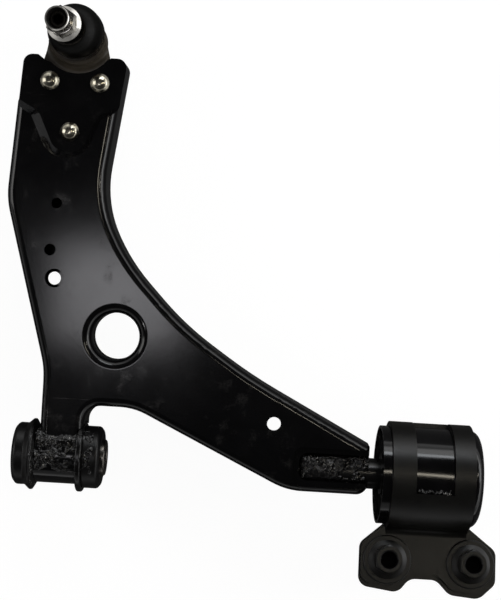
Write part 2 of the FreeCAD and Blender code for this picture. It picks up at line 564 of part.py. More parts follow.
def ball_stud():
    cx = JOINT_C
    profile = [(0, 0), (STUD_NECK_R, 0), (STUD_NECK_R, 21.0), (TAPER_R0, 25.5), (TAPER_R0, 41.5), (TAPER_R0 - 0.05, 41.6),
               (TAPER_R1, TAPER_Z1), (THREAD_R, TAPER_Z1 + 0.4), (THREAD_R, STUD_END_Z - 1.2),
               (THREAD_R - 1.2, STUD_END_Z), (0, STUD_END_Z)]
    stud = revolved(profile, cx).fuse(Part.makeSphere(BALL_R, V(cx[0], cx[1], 0)))
    stud = stud.cut(box(cx[0] - 20, cx[0] + 20, cx[1] - 20, cx[1] + 20, -20, -11.6))
    stud = stud.cut(hex_prism(cx[0], cx[1], SOCKET_AF, STUD_END_Z - SOCKET_D, STUD_END_Z + 1))
    return leaned(largest(stud.removeSplitter()))


def stud_nut():
    cx, z0, z1 = JOINT_C, STUD_NUT_Z0, STUD_NUT_Z1
    zh = z1 - COLLAR_NUT_H
    flange = revolved([(0, z0), (STUD_FLANGE_R, z0), (STUD_FLANGE_R, z0 + 1.1), (STUD_NUT_AF / 2 + 0.4,
                       z0 + STUD_FLANGE_T + 0.8), (0, z0 + STUD_FLANGE_T + 0.8)], cx)
    body = hex_prism(cx[0], cx[1], STUD_NUT_AF, z0, zh)
    cone = revolved([(0, z0), (20, z0), (20, zh - 3.6), (COLLAR_NUT_R + 0.4, zh), (0, zh)], cx)
    crown = revolved([(0, zh - 1), (COLLAR_NUT_R, zh - 1), (COLLAR_NUT_R, z1 - 0.5), (COLLAR_NUT_R - 0.5, z1), (0, z1)], cx)
    nut = body.common(cone).fuse([flange, crown])
    nut = nut.cut(drill(cx[0], cx[1], THREAD_R + CONTACT, 0, 100))
    nut = nut.cut(revolved([(0, z1 + 0.1), (COLLAR_NUT_R - 1.2, z1 + 0.1), (COLLAR_NUT_R - 1.2, z1 - 4.0),
                            (THREAD_R, z1 - 6.0), (0, z1 - 6.0)], cx))
    return leaned(largest(nut.removeSplitter()))


# ---------------------------------------------------------------- write the parts
def save(name, shapes):
    solids = []
    for shape in (shapes if isinstance(shapes, (list, tuple)) else [shapes]):
        solids.extend(shape.Solids)
    if not solids:
        raise ValueError(name + " is empty")
    for solid in solids:
        if not solid.isValid():
            print("not valid:", name)
    whole = solids[0] if len(solids) == 1 else Part.makeCompound(solids)
    whole.exportStep("parts/" + name + ".step")
    print(name, len(solids), round(sum(s.Volume for s in solids) / 1000.0, 2), "cm3")


def main():
    os.makedirs("parts", exist_ok=True)
    upper, lower = upper_shell(), lower_shell()
    save("upper_shell", upper)
    save("lower_shell", lower)
    save("shell_seam_weld", seam_weld())
    save("front_bush_tube", front_tube())
    save("front_tube_weld", front_weld())
    save("front_bush_outer_sleeve", front_sleeve())
    save("front_bush_rubber", front_rubber())
    save("front_bush_inner_sleeve", front_inner_sleeve())
    save("rear_pin", rear_pin())
    save("rear_pin_weld", rear_pin_weld(upper))
    save("rear_bush_core", rear_core())
    save("rear_bush_can", tilted(rear_can()))
    save("rear_bush_rubber", tilted(rear_rubber()))
    save("rear_bracket_upper_leaf", tilted(upper_leaf()))
    save("rear_bracket_lower_leaf", tilted(lower_leaf()))
    save("rear_bracket_nuts", [tilted(n) for n in bracket_nuts()])
    save("rear_bracket_weld", tilted(window_weld()))
    save("ball_joint_housing", ball_joint_housing())
    save("ball_joint_race", ball_joint_race())
    save("ball_joint_preload_disc", preload_disc())
    save("ball_joint_cap", closing_cap())
    save("ball_joint_rivets", rivets())
    save("boot", boot())
    save("boot_base_clip", base_clip())
    save("boot_neck_clip", neck_clip())
    save("ball_stud", ball_stud())
    save("stud_nut", stud_nut())


main()
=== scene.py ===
"""Looks for a stamped lower control arm: pressed shells, two rubber bushes, bracket and ball joint.

All lengths are metres. The frame is the part's own: +X along the pivot axis, +Y towards the ball
joint, +Z up along the stud.
"""

import json
import logging
import math
from dataclasses import dataclass
from enum import Enum

import bmesh
import bpy
import numpy as np
from mathutils import Matrix, Vector

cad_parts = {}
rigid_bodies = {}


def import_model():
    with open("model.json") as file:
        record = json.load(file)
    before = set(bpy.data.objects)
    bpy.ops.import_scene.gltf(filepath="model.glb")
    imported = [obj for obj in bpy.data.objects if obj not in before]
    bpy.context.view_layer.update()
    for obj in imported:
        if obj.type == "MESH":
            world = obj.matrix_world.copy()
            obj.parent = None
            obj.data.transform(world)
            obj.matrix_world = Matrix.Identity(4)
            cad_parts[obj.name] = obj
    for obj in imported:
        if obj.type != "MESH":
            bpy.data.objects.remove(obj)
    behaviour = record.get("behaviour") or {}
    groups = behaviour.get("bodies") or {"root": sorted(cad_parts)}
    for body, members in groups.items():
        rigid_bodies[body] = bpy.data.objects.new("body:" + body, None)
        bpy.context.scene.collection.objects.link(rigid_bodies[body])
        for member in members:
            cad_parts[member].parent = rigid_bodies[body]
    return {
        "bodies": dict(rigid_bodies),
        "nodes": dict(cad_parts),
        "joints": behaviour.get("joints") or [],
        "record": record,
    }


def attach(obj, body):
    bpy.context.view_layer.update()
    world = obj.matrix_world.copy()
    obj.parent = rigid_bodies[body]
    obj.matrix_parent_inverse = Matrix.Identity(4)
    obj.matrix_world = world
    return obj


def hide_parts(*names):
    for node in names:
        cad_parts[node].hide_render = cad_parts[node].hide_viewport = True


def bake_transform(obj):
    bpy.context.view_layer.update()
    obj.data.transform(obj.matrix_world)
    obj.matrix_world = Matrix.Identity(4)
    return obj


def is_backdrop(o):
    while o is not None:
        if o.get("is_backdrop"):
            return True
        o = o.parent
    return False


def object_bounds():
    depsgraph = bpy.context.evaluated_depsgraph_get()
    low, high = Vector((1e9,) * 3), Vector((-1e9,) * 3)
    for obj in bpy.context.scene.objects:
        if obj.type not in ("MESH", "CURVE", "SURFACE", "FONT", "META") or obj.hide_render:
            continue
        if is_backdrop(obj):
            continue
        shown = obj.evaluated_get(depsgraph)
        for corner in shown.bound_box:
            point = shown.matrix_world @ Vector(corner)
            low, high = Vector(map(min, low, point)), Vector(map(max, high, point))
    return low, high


LOG = logging.getLogger("control_arm")
SHADE_ATTRIBUTE = "painted_shade"  # attribute that says how much painted shade a point gets
Array = np.ndarray
Socket = bpy.types.NodeSocket

SAME_POINT = 1e-9  # points nearer than this are one point of an outline
ARC_TURN = 0.16  # most that an outline's arc turns between two samples, in radians
ARC_POINTS = 4  # fewest samples on an outline's arc
STRAIGHT_STEPS = 3  # samples on a straight run are this many times further apart than on an arc
HASH_PRIMES = (73856093, 19349663, 83492791)  # one for each axis of the noise's lattice
HASH_SEED, HASH_STIR = 2654435761, 1274126177
HASH_BITS, HASH_HALF = 0xFFFF, 32767.5
NO_LENGTH = 1e-18  # a sum of normals shorter than this has no direction
PLANE_TURNS, PLANE_STEPS = 250.0, 2.0e4  # how finely normals and heights tell two planes apart


# ------------------------------------------------------------------ mesh helpers
class Axis(Enum):
    """Axis that a turned piece is turned about."""

    PIVOT = "x"
    UPRIGHT = "z"


def mesh_object(name: str, verts: Array, faces: list | Array,
                smooth_deg: float = 35.0) -> bpy.types.Object:
    """Make a mesh object at the origin from whole arrays.

    Args:
        name: object name.
        verts: (n, 3) positions.
        faces: sequence of index tuples, or an (m, 4) array.
        smooth_deg: edges that turn more than this stay sharp.

    Returns:
        The linked object.
    """
    mesh = bpy.data.meshes.new(name)
    points = [tuple(v) for v in np.asarray(verts, float)]
    mesh.from_pydata(points, [], [tuple(int(i) for i in f) for f in faces])
    mesh.validate()
    obj = bpy.data.objects.new(name, mesh)
    bpy.context.scene.collection.objects.link(obj)
    tidy(obj, smooth_deg)
    return obj


def tidy(obj: bpy.types.Object, smooth_deg: float = 35.0, merge: float = 1e-6) -> None:
    """Merge doubled points, turn faces outwards and shade smooth, with sharp edges by angle.

    Args:
        obj: a mesh object.
        smooth_deg: edges that turn more than this stay sharp.
        merge: points nearer than this become one.
    """
    work = bmesh.new()
    work.from_mesh(obj.data)
    bmesh.ops.remove_doubles(work, verts=work.verts, dist=merge)
    bmesh.ops.dissolve_degenerate(work, edges=work.edges, dist=merge)
    bmesh.ops.recalc_face_normals(work, faces=work.faces)
    work.to_mesh(obj.data)
    work.free()
    obj.data.shade_smooth()
    obj.data.set_sharp_from_angle(angle=math.radians(smooth_deg))


def grid_faces(rows: int, cols: int, wrap_rows: bool, wrap_cols: bool) -> Array:
    """Quads of a rows by cols grid of points stored row by row; either way may close on itself.

    Args:
        rows: number of rows.
        cols: points in a row.
        wrap_rows: whether the last row joins the first.
        wrap_cols: whether a row's last point joins its first.

    Returns:
        (m, 4) point indices.
    """
    r = np.arange(rows if wrap_rows else rows - 1)
    c = np.arange(cols if wrap_cols else cols - 1)
    rr, cc = np.meshgrid(r, c, indexing="ij")
    r1, c1 = (rr + 1) % rows, (cc + 1) % cols
    corners = [rr * cols + cc, rr * cols + c1, r1 * cols + c1, r1 * cols + cc]
    return np.stack(corners, -1).reshape(-1, 4)


def capped_faces(rows: int, cols: int) -> list:
    """Faces of a solid run of closed loops: quads between the loops and one face on each end.

    Args:
        rows: number of loops.
        cols: points in a loop.

    Returns:
        Index lists.
    """
    ends = [list(range(cols))[::-1], ((rows - 1) * cols + np.arange(cols)).tolist()]
    return grid_faces(rows, cols, False, True).tolist() + ends


def turned(profile: Array, segments: int, axis: Axis,
           centre: tuple = (0.0, 0.0, 0.0)) -> tuple[Array, Array]:
    """Closed ring surface: a closed profile of (along, radius) carried once round an axis.

    The point at angle t is the axis point at 'along' plus radius times (cos t, sin t) across it.

    Args:
        profile: (k, 2) closed loop of (along the axis, radius).
        segments: points round the turn.
        axis: which axis to turn about.
        centre: a point on the axis.

    Returns:
        Vertices (n, 3) and quads (m, 4).
    """
    t = np.linspace(0.0, 2 * math.pi, segments, endpoint=False)[:, None]
    along = np.broadcast_to(profile[None, :, 0], (segments, len(profile)))
    radius = profile[None, :, 1]
    a, b = radius * np.cos(t), radius * np.sin(t)
    parts = (along, a, b) if axis is Axis.PIVOT else (a, b, along)
    verts = np.stack(parts, -1).reshape(-1, 3) + np.asarray(centre, float)
    return verts, grid_faces(segments, len(profile), True, True)


def rounded_loop(points: list, step: float = 0.0008) -> Array:
    """Closed polygon with rounded corners, sampled at even steps.

    Each corner of radius r is an arc tangent to both sides; runs between arcs are straight.

    Args:
        points: (u, v, r) corners.
        step: distance between samples on an arc.

    Returns:
        (n, 2) loop without its closing repeat.
    """
    pts = np.array([p[:2] for p in points], float)
    rad = np.array([p[2] for p in points], float)
    before, after = np.roll(pts, 1, 0) - pts, np.roll(pts, -1, 0) - pts
    before /= np.linalg.norm(before, axis=1)[:, None]
    after /= np.linalg.norm(after, axis=1)[:, None]
    half = np.arccos(np.clip((before * after).sum(1), -1, 1)) / 2
    along = rad / np.tan(half)
    out = []
    for i in range(len(pts)):
        if rad[i] <= 0:
            out.append(pts[i][None])
            continue
        middle = before[i] + after[i]
        middle /= np.linalg.norm(middle)
        centre = pts[i] + middle * rad[i] / math.sin(half[i])
        start = pts[i] + before[i] * along[i] - centre
        end = pts[i] + after[i] * along[i] - centre
        first = math.atan2(start[1], start[0])
        turn = (math.atan2(end[1], end[0]) - first + math.pi) % (2 * math.pi) - math.pi
        count = max(ARC_POINTS, int(abs(turn) * rad[i] / step) + 1, int(abs(turn) / ARC_TURN) + 1)
        a = first + turn * np.linspace(0, 1, count)
        out.append(centre + rad[i] * np.stack([np.cos(a), np.sin(a)], -1))
    loop = np.concatenate(out)
    gaps = np.roll(loop, -1, 0) - loop
    full = []
    for point, gap, run in zip(loop, gaps, np.linalg.norm(gaps, axis=1)):
        if run > SAME_POINT:
            count = max(1, int(run / (step * STRAIGHT_STEPS)))
            full.append(point + gap * np.linspace(0, 1, count, endpoint=False)[:, None])
    return np.concatenate(full)


def smooth01(t: Array) -> Array:
    """Ease from 0 to 1 with no slope at either end."""
    t = np.clip(t, 0.0, 1.0)
    return t * t * (3 - 2 * t)


def lattice_noise(points: Array, cell: float, seed: int) -> Array:
    """Smooth value noise in space, the same on every run.

    Random values sit on a cubic lattice of the given cell and are eased between its corners.

    Args:
        points: (n, 3) positions.
        cell: side of a lattice cell.
        seed: picks one of many noises.

    Returns:
        (n,) values from -1 to 1.
    """
    q = np.asarray(points, float) / cell
    base = np.floor(q).astype(np.int64)
    f = q - base
    f = f * f * (3 - 2 * f)
    total = np.zeros(len(q))
    for corner in range(8):
        off = np.array([(corner >> k) & 1 for k in range(3)])
        key = (base + off) * np.array(HASH_PRIMES)
        h = key[:, 0] ^ key[:, 1] ^ key[:, 2] ^ (seed * HASH_SEED)
        h = (h ^ (h >> 13)) * HASH_STIR
        value = ((h ^ (h >> 16)) & HASH_BITS) / HASH_HALF - 1.0
        total += value * np.prod(np.where(off, f, 1 - f), axis=1)
    return total


def lump_mix(points: Array, cells: tuple, weights: tuple, seed: int) -> Array:
    """Sum of several lattice noises, each with its own cell and weight.

    Args:
        points: (n, 3) positions.
        cells: lattice cell of each noise.
        weights: weight of each noise.
        seed: seed of the first noise; the others follow it.

    Returns:
        (n,) values.
    """
    return sum(weight * lattice_noise(points, cell, seed + index)
               for index, (cell, weight) in enumerate(zip(cells, weights)))


# ------------------------------------------------------------------ shader groups
class NodeBook:
    """Places nodes and links in one node tree."""

    def __init__(self, tree: bpy.types.NodeTree) -> None:
        """Keep the tree."""
        self.tree = tree

    def add(self, kind: str, **values: object) -> bpy.types.Node:
        """Add a node.

        Args:
            kind: the node's type name.
            values: its properties, or constants or sockets for its inputs, with _ for a space.

        Returns:
            The node.
        """
        node = self.tree.nodes.new(kind)
        for key, value in values.items():
            if hasattr(node, key):
                setattr(node, key, value)
            else:
                self.feed(node, key.replace("_", " "), value)
        return node

    def feed(self, node: bpy.types.Node, socket: str | int, value: object) -> None:
        """Link an input to the value if it is a socket, else set it as a constant.

        Args:
            node: the node that is fed.
            socket: name or number of its input.
            value: a socket or a constant.
        """
        target = node.inputs[socket]
        if isinstance(value, Socket):
            self.tree.links.new(value, target)
        else:
            target.default_value = value

    def math(self, operation: str, a: object, b: object = 0.0, clamp: bool = False) -> Socket:
        """One math node.

        Args:
            operation: what it works out.
            a: first value or socket.
            b: second value or socket.
            clamp: whether the result is kept from 0 to 1.

        Returns:
            The result.
        """
        node = self.tree.nodes.new("ShaderNodeMath")
        node.operation, node.use_clamp = operation, clamp
        self.feed(node, 0, a)
        self.feed(node, 1, b)
        return node.outputs[0]

    def mix(self, factor: object, a: object, b: object) -> Socket:
        """Mix of two colours.

        Args:
            factor: share of the second colour.
            a: first colour.
            b: second colour.

        Returns:
            The mixed colour.
        """
        node = self.tree.nodes.new("ShaderNodeMix")
        node.data_type = "RGBA"
        for index, item in ((0, factor), (6, a), (7, b)):
            self.feed(node, index, item)
        return node.outputs[2]

    def span(self, value: object, low: float, high: float, start: float = 0.0,
             end: float = 1.0) -> Socket:
        """Map a value from one range to another, eased and clamped.

        Args:
            value: the value or socket.
            low: value that gives start.
            high: value that gives end.
            start: result at low and below.
            end: result at high and above.

        Returns:
            The mapped value.
        """
        node = self.tree.nodes.new("ShaderNodeMapRange")
        node.interpolation_type = "SMOOTHSTEP"
        for index, item in enumerate((value, low, high, start, end)):
            self.feed(node, index, item)
        return node.outputs[0]

    def noise(self, vector: object, scale: object, detail: float = 3.0,
              rough: float = 0.55) -> Socket:
        """Noise value on a vector.

        Args:
            vector: where to read it.
            scale: how many cells there are to a metre.
            detail: octaves.
            rough: weight of the finer octaves.

        Returns:
            The value, about 0.5 on average.
        """
        return self.add("ShaderNodeTexNoise", Vector=vector, Scale=scale, Detail=detail,
                        Roughness=rough).outputs[0]

    def cells(self, vector: object, scale: object) -> Socket:
        """Distance to the middle of the nearest cell of a scattered pattern."""
        return self.add("ShaderNodeTexVoronoi", feature="F1", Vector=vector,
                        Scale=scale).outputs["Distance"]


@dataclass(frozen=True)
class GroupSocket:
    """One socket on a shader group."""

    name: str
    kind: str = "Float"
    output: bool = False
    value: float = 0.0


class EffectLibrary:
    """Shader effects shared by the finishes, each built once as a node group."""

    def __init__(self) -> None:
        """Build every group."""
        self.dust = self._dust()
        self.skin = self._coat_skin()
        self.wear = self._rub_marks()
        self.casting = self._coarse_skin()
        self.glints = self._glints()

    @staticmethod
    def _group(name: str, result: str, *inputs: GroupSocket) -> tuple:
        """Make an empty group that reads a Vector and puts out one value.

        Args:
            name: the group's name.
            result: name of the value that it puts out.
            inputs: its inputs after Vector.

        Returns:
            The group, its book, the sockets of its inputs and its output node.
        """
        group = bpy.data.node_groups.new(name, "ShaderNodeTree")
        for s in (GroupSocket("Vector", "Vector"), *inputs, GroupSocket(result, output=True)):
            made = group.interface.new_socket(name=s.name, in_out="OUTPUT" if s.output else "INPUT",
                                              socket_type="NodeSocket" + s.kind)
            if not s.output and s.kind == "Float":
                made.default_value = s.value
        source, out = group.nodes.new("NodeGroupInput"), group.nodes.new("NodeGroupOutput")
        return group, NodeBook(group), source.outputs, out

    def _dust(self) -> bpy.types.NodeTree:
        """Fine pale dust and a few specks, as a mask.

        Returns:
            The group.
        """
        group, book, src, out = self._group("fine_dust", "Mask", GroupSocket("Amount", value=0.3),
                                            GroupSocket("Speck Scale", value=900.0))
        place = src["Vector"]
        film = book.span(book.noise(place, scale=38.0, detail=5.0, rough=0.6), 0.45, 0.8, end=0.35)
        specks = book.span(book.cells(place, src["Speck Scale"]), 0.05, 0.13, start=1.0, end=0.0)
        gate = book.span(book.noise(place, scale=120.0, detail=2.0), 0.56, 0.68)
        mask = book.math("MAXIMUM", film, book.math("MULTIPLY", specks, gate))
        book.feed(out, "Mask", book.math("MULTIPLY", mask, src["Amount"], clamp=True))
        return group

    def _coat_skin(self) -> bpy.types.NodeTree:
        """Dip coat's skin: long sags, orange peel and fine grit, as one height.

        Returns:
            The group.
        """
        group, book, src, out = self._group("coat_skin", "Height", GroupSocket("Peel", value=0.4),
                                            GroupSocket("Grit", value=0.2))
        place = src["Vector"]
        sag = book.math("MULTIPLY", book.noise(place, scale=22.0, detail=2.0), 0.5)
        peel = book.math("MULTIPLY", book.noise(place, scale=520.0, detail=2.0), src["Peel"])
        grit = book.math("MULTIPLY", book.noise(place, scale=2400.0, detail=2.0), src["Grit"])
        book.feed(out, "Height", book.math("ADD", book.math("ADD", sag, peel), grit))
        return group

    def _rub_marks(self) -> bpy.types.NodeTree:
        """Handling marks: stretched scratches and rubbed patches, as a mask.

        Returns:
            The group.
        """
        group, book, src, out = self._group("rub_marks", "Mask", GroupSocket("Amount", value=0.4))
        place = src["Vector"]
        stretch = book.add("ShaderNodeMapping", Vector=place, Rotation=(0.3, 0.2, 0.9),
                           Scale=(40.0, 900.0, 300.0)).outputs[0]
        lines = book.span(book.noise(stretch, scale=1.0), 0.66, 0.74)
        patches = book.span(book.noise(place, scale=26.0, detail=4.0), 0.52, 0.66)
        scratches = book.math("MULTIPLY", book.math("MULTIPLY", lines, patches), 0.4)
        soft = book.span(book.noise(place, scale=55.0, detail=6.0, rough=0.7), 0.55, 0.75)
        mask = book.math("MAXIMUM", scratches, book.math("MULTIPLY", soft, 0.5))
        book.feed(out, "Mask", book.math("MULTIPLY", mask, src["Amount"], clamp=True))
        return group

    def _glints(self) -> bpy.types.NodeTree:
        """Bright bare specks gathered in patches, as a mask.

        Returns:
            The group.
        """
        group, book, src, out = self._group("bare_glints", "Mask", GroupSocket("Amount", value=0.5),
                                            GroupSocket("Grain", value=620.0))
        place = src["Vector"]
        fine = book.span(book.noise(place, src["Grain"], detail=3.0, rough=0.7), 0.600, 0.645)
        patch = book.span(book.noise(place, scale=95.0, detail=2.0), 0.545, 0.62)
        mask = book.math("MULTIPLY", fine, patch)
        book.feed(out, "Mask", book.math("MULTIPLY", mask, src["Amount"], clamp=True))
        return group

    def _coarse_skin(self) -> bpy.types.NodeTree:
        """Rough skin of a forging or weld: lumps and pits, as one height.

        Returns:
            The group.
        """
        group, book, src, out = self._group("coarse_skin", "Height",
                                            GroupSocket("Lump Scale", value=300.0))
        lumps = book.noise(src["Vector"], src["Lump Scale"], detail=4.0, rough=0.6)
        pits = book.span(book.cells(src["Vector"], scale=1300.0), 0.0, 0.45)
        book.feed(out, "Height", book.math("ADD", lumps, book.math("MULTIPLY", pits, 0.35)))
        return group


# ------------------------------------------------------------------ finishes
@dataclass(frozen=True)
class Finish:
    """A surface finish: colour, gloss and the strength of each shared effect."""

    name: str
    color: tuple
    roughness: float
    metallic: float = 0.0
    specular: float = 0.5
    coat: float = 0.0
    coat_roughness: float = 0.1
    dust: float = 0.25
    dust_color: tuple = (0.20, 0.19, 0.18)
    dust_roughness: float = 0.35
    speck_scale: float = 900.0
    rub: float = 0.3
    rub_color: tuple = (0.08, 0.08, 0.085)
    rub_roughness: float = 0.12
    peel: float = 0.4
    grit: float = 0.2
    coarse: float = 0.0
    lump_scale: float = 300.0
    bump: float = 0.1
    bump_distance: float = 0.0003
    tint_scale: float = 45.0
    tint: float = 0.35
    tone_span: tuple = (0.3, 0.7)
    gloss_spread: float = 0.05
    glints: float = 0.0
    glint_color: tuple = (0.55, 0.52, 0.46)
    glint_roughness: float = 0.20
    # painted shade in recesses: the switch, its colour and its roughness
    shades_recesses: bool = False
    recess_shade_color: tuple = (0.0025, 0.0023, 0.0024)
    recess_shade_roughness: float = 0.30

    def build(self, effects: EffectLibrary) -> bpy.types.Material:
        """Build the material: a tinted base with rub marks, dust, painted shade and bare specks
        over it.

        Painted shade makes a recess black without a sheen: bare metal loses its mirror there, and
        paint has the mirror of a black metal instead of its own.

        Args:
            effects: the shared shader groups.

        Returns:
            The node material.
        """
        mat = bpy.data.materials.new(self.name)
        mat.use_nodes = True
        tree = mat.node_tree
        tree.nodes.clear()
        book = NodeBook(tree)
        place = tree.nodes.new("ShaderNodeTexCoord").outputs["Object"]
        bsdf = tree.nodes.new("ShaderNodeBsdfPrincipled")
        out = tree.nodes.new("ShaderNodeOutputMaterial")
        tree.links.new(bsdf.outputs[0], out.inputs[0])
        rub = self._effect(book, effects.wear, place, Amount=self.rub)
        dust = self._effect(book, effects.dust, place, Amount=self.dust,
                            Speck_Scale=self.speck_scale)
        layers = [(rub, self.rub_color, self.rub_roughness),
                  (dust, self.dust_color, self.dust_roughness)]
        metal = self.metallic
        # painted shade: marked recesses get a dark colour and no mirror, where shade falls
        if self.shades_recesses:
            shade_mask = book.add("ShaderNodeAttribute", attribute_name=SHADE_ATTRIBUTE).outputs["Fac"]
            layers.append((shade_mask, self.recess_shade_color, self.recess_shade_roughness))
            metal = book.math("SUBTRACT", 1.0, shade_mask) if self.metallic > 0 else shade_mask
        if self.glints > 0:
            metal = self._effect(book, effects.glints, place, Amount=self.glints)
            layers.append((metal, self.glint_color, self.glint_roughness))
        cloud = book.noise(place, self.tint_scale, detail=4.0, rough=0.6)
        tone = book.span(cloud, *self.tone_span)
        color = book.mix(tone, self._tinted(-self.tint), self._tinted(self.tint))
        rough = book.span(tone, 0.0, 1.0, self.roughness * (1 - self.gloss_spread),
                          self.roughness * (1 + self.gloss_spread))
        for mask, over, rougher in layers:
            color = book.mix(mask, color, (*over, 1.0))
            rough = book.math("ADD", rough, book.math("MULTIPLY", mask, rougher), clamp=True)
        bump = book.add("ShaderNodeBump", Strength=self.bump, Distance=self.bump_distance,
                        Height=self._height(book, effects, place))
        for name, item in (("Base Color", color), ("Roughness", rough), ("Metallic", metal),
                           ("Normal", bump.outputs[0]), ("Specular IOR Level", self.specular),
                           ("Coat Weight", self.coat), ("Coat Roughness", self.coat_roughness)):
            book.feed(bsdf, name, item)
        return mat

    def _tinted(self, change: float) -> tuple:
        """The base colour made lighter or darker by a share of itself."""
        return (*(min(1.0, c * (1 + change)) for c in self.color), 1.0)

    def _height(self, book: NodeBook, effects: EffectLibrary, place: Socket) -> Socket:
        """Height of the skin, with lumps under it where the finish is coarse.

        Args:
            book: the material's nodes.
            effects: the shared shader groups.
            place: where the effects are read.

        Returns:
            The height.
        """
        skin = self._effect(book, effects.skin, place, Peel=self.peel, Grit=self.grit)
        if self.coarse <= 0:
            return skin
        lumps = self._effect(book, effects.casting, place, Lump_Scale=self.lump_scale)
        return book.math("ADD", skin, book.math("MULTIPLY", lumps, self.coarse))

    @staticmethod
    def _effect(book: NodeBook, group: bpy.types.NodeTree, place: Socket,
                **values: float) -> Socket:
        """Place a shared group with its values.

        Args:
            book: the material's nodes.
            group: the shared group.
            place: where the effect is read.
            values: the group's inputs, with _ for a space.

        Returns:
            What the group puts out.
        """
        node = book.add("ShaderNodeGroup", node_tree=group)
        book.feed(node, "Vector", place)
        for key, value in values.items():
            book.feed(node, key.replace("_", " "), value)
        return node.outputs[0]


class Workshop:
    """Holds the finishes' materials and dresses nodes and pieces."""

    FINISHES = (
        # bracket_paint, bare_steel and zinc_plate take painted shade in their marked recesses
        Finish("arm_paint", (0.0034, 0.0033, 0.0038), 0.125, dust=0.04, bump=0.05, tint=0.2,
               rub=0.80, rub_color=(0.045, 0.042, 0.040), rub_roughness=0.20),
        Finish("weld_paint", (0.0040, 0.0037, 0.0038), 0.15, coat=0.35, coat_roughness=0.06,
               dust=0.02, rub=0.05, rub_color=(0.05, 0.045, 0.04), coarse=1.3, lump_scale=300.0,
               bump=0.48, bump_distance=0.0005, glints=1.0, glint_color=(1.0, 0.97, 0.90)),
        Finish("sleeve_paint", (0.0040, 0.0038, 0.0040), 0.24, dust=0.03, rub=0.06, bump=0.10),
        Finish("pin_paint", (0.0060, 0.0058, 0.0060), 0.24, dust=0.05, rub=0.08, bump=0.10),
        Finish("can_paint", (0.0034, 0.0032, 0.0038), 0.135, coat=0.15, dust=0.02, bump=0.06,
               rub=0.08, rub_color=(0.02, 0.018, 0.015)),
        Finish("bracket_paint", (0.0034, 0.0031, 0.0024), 0.38, dust=0.02, bump=0.12,
               rub=0.16, rub_color=(0.030, 0.027, 0.020), shades_recesses=True),
        # forged housing: a lighter brown-grey, partly its own colour and partly painted reflection
        # of the pale floor
        Finish("forged_paint", (0.0600, 0.0500, 0.0370), 0.34, coarse=0.4, dust=0.06, rub=0.15,
               bump=0.22),
        Finish("bush_rubber", (0.0034, 0.0032, 0.0034), 0.36, specular=0.4, dust=0.03, rub=0.05,
               peel=0.2, grit=0.6, bump=0.10),
        Finish("boot_rubber", (0.0020, 0.0018, 0.0015), 0.40, specular=0.18, dust=0.03, rub=0.05,
               peel=0.2, grit=0.5, bump=0.10),
        Finish("race_polymer", (0.70, 0.66, 0.58), 0.35, dust=0.1, rub=0.1, bump=0.05, tint=0.05),
        Finish("bare_steel", (0.20, 0.185, 0.165), 0.26, metallic=1.0, specular=0.0, dust=0.06,
               rub=0.4, rub_color=(0.34, 0.32, 0.28), bump=0.12, tint=0.25, shades_recesses=True),
        Finish("bright_rivet", (0.60, 0.56, 0.45), 0.22, metallic=1.0, dust=0.05, rub=0.5,
               rub_color=(0.8, 0.77, 0.66), peel=1.0, bump=0.25, tint=0.2),
        Finish("zinc_plate", (0.66, 0.64, 0.60), 0.17, metallic=1.0, specular=0.0, dust=0.04,
               rub=0.3, rub_color=(0.90, 0.90, 0.88), bump=0.08, tint=0.1, shades_recesses=True),
    )

    def __init__(self, effects: EffectLibrary) -> None:
        """Build one material for each finish."""
        self.materials = {f.name: f.build(effects) for f in self.FINISHES}

    def dress(self, obj: bpy.types.Object, finish: str) -> None:
        """Give an object one finish."""
        obj.data.materials.clear()
        obj.data.materials.append(self.materials[finish])

    def dress_nodes(self, frame: dict) -> None:
        """Give every CAD node the finish named by its material slot in the record.

        Args:
            frame: the loaded frame.
        """
        slots = {s["node"]: s["material_slot"] for s in frame["record"]["subparts"]}
        for name, node in frame["nodes"].items():
            self.dress(node, slots[name])

    def place(self, obj: bpy.types.Object, body: str, finish: str, *nodes: str) -> bpy.types.Object:
        """Dress a new piece, ride it on a body and let it stand for CAD nodes.

        Args:
            obj: the piece.
            body: the body it moves with.
            finish: its finish, which is also its material slot.
            nodes: the CAD nodes that it stands for, if any.

        Returns:
            The piece.
        """
        self.dress(obj, finish)
        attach(obj, body)
        if nodes:
            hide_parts(*nodes)
        LOG.info("%s: %d faces on %s", obj.name, len(obj.data.polygons), body)
        return obj


def face_facts(mesh: bpy.types.Mesh) -> tuple[Array, Array, Array, Array]:
    """Read a mesh's faces as arrays.

    Args:
        mesh: the mesh.

    Returns:
        Normals (n, 3), middles (n, 3), areas (n,) and the number of corners of each face (n,).
    """
    faces = len(mesh.polygons)
    normal, middle = np.zeros(faces * 3), np.zeros(faces * 3)
    area, total = np.zeros(faces), np.zeros(faces, np.int32)
    for key, values in (("normal", normal), ("center", middle), ("area", area),
                        ("loop_total", total)):
        mesh.polygons.foreach_get(key, values)
    return normal.reshape(-1, 3), middle.reshape(-1, 3), area, total


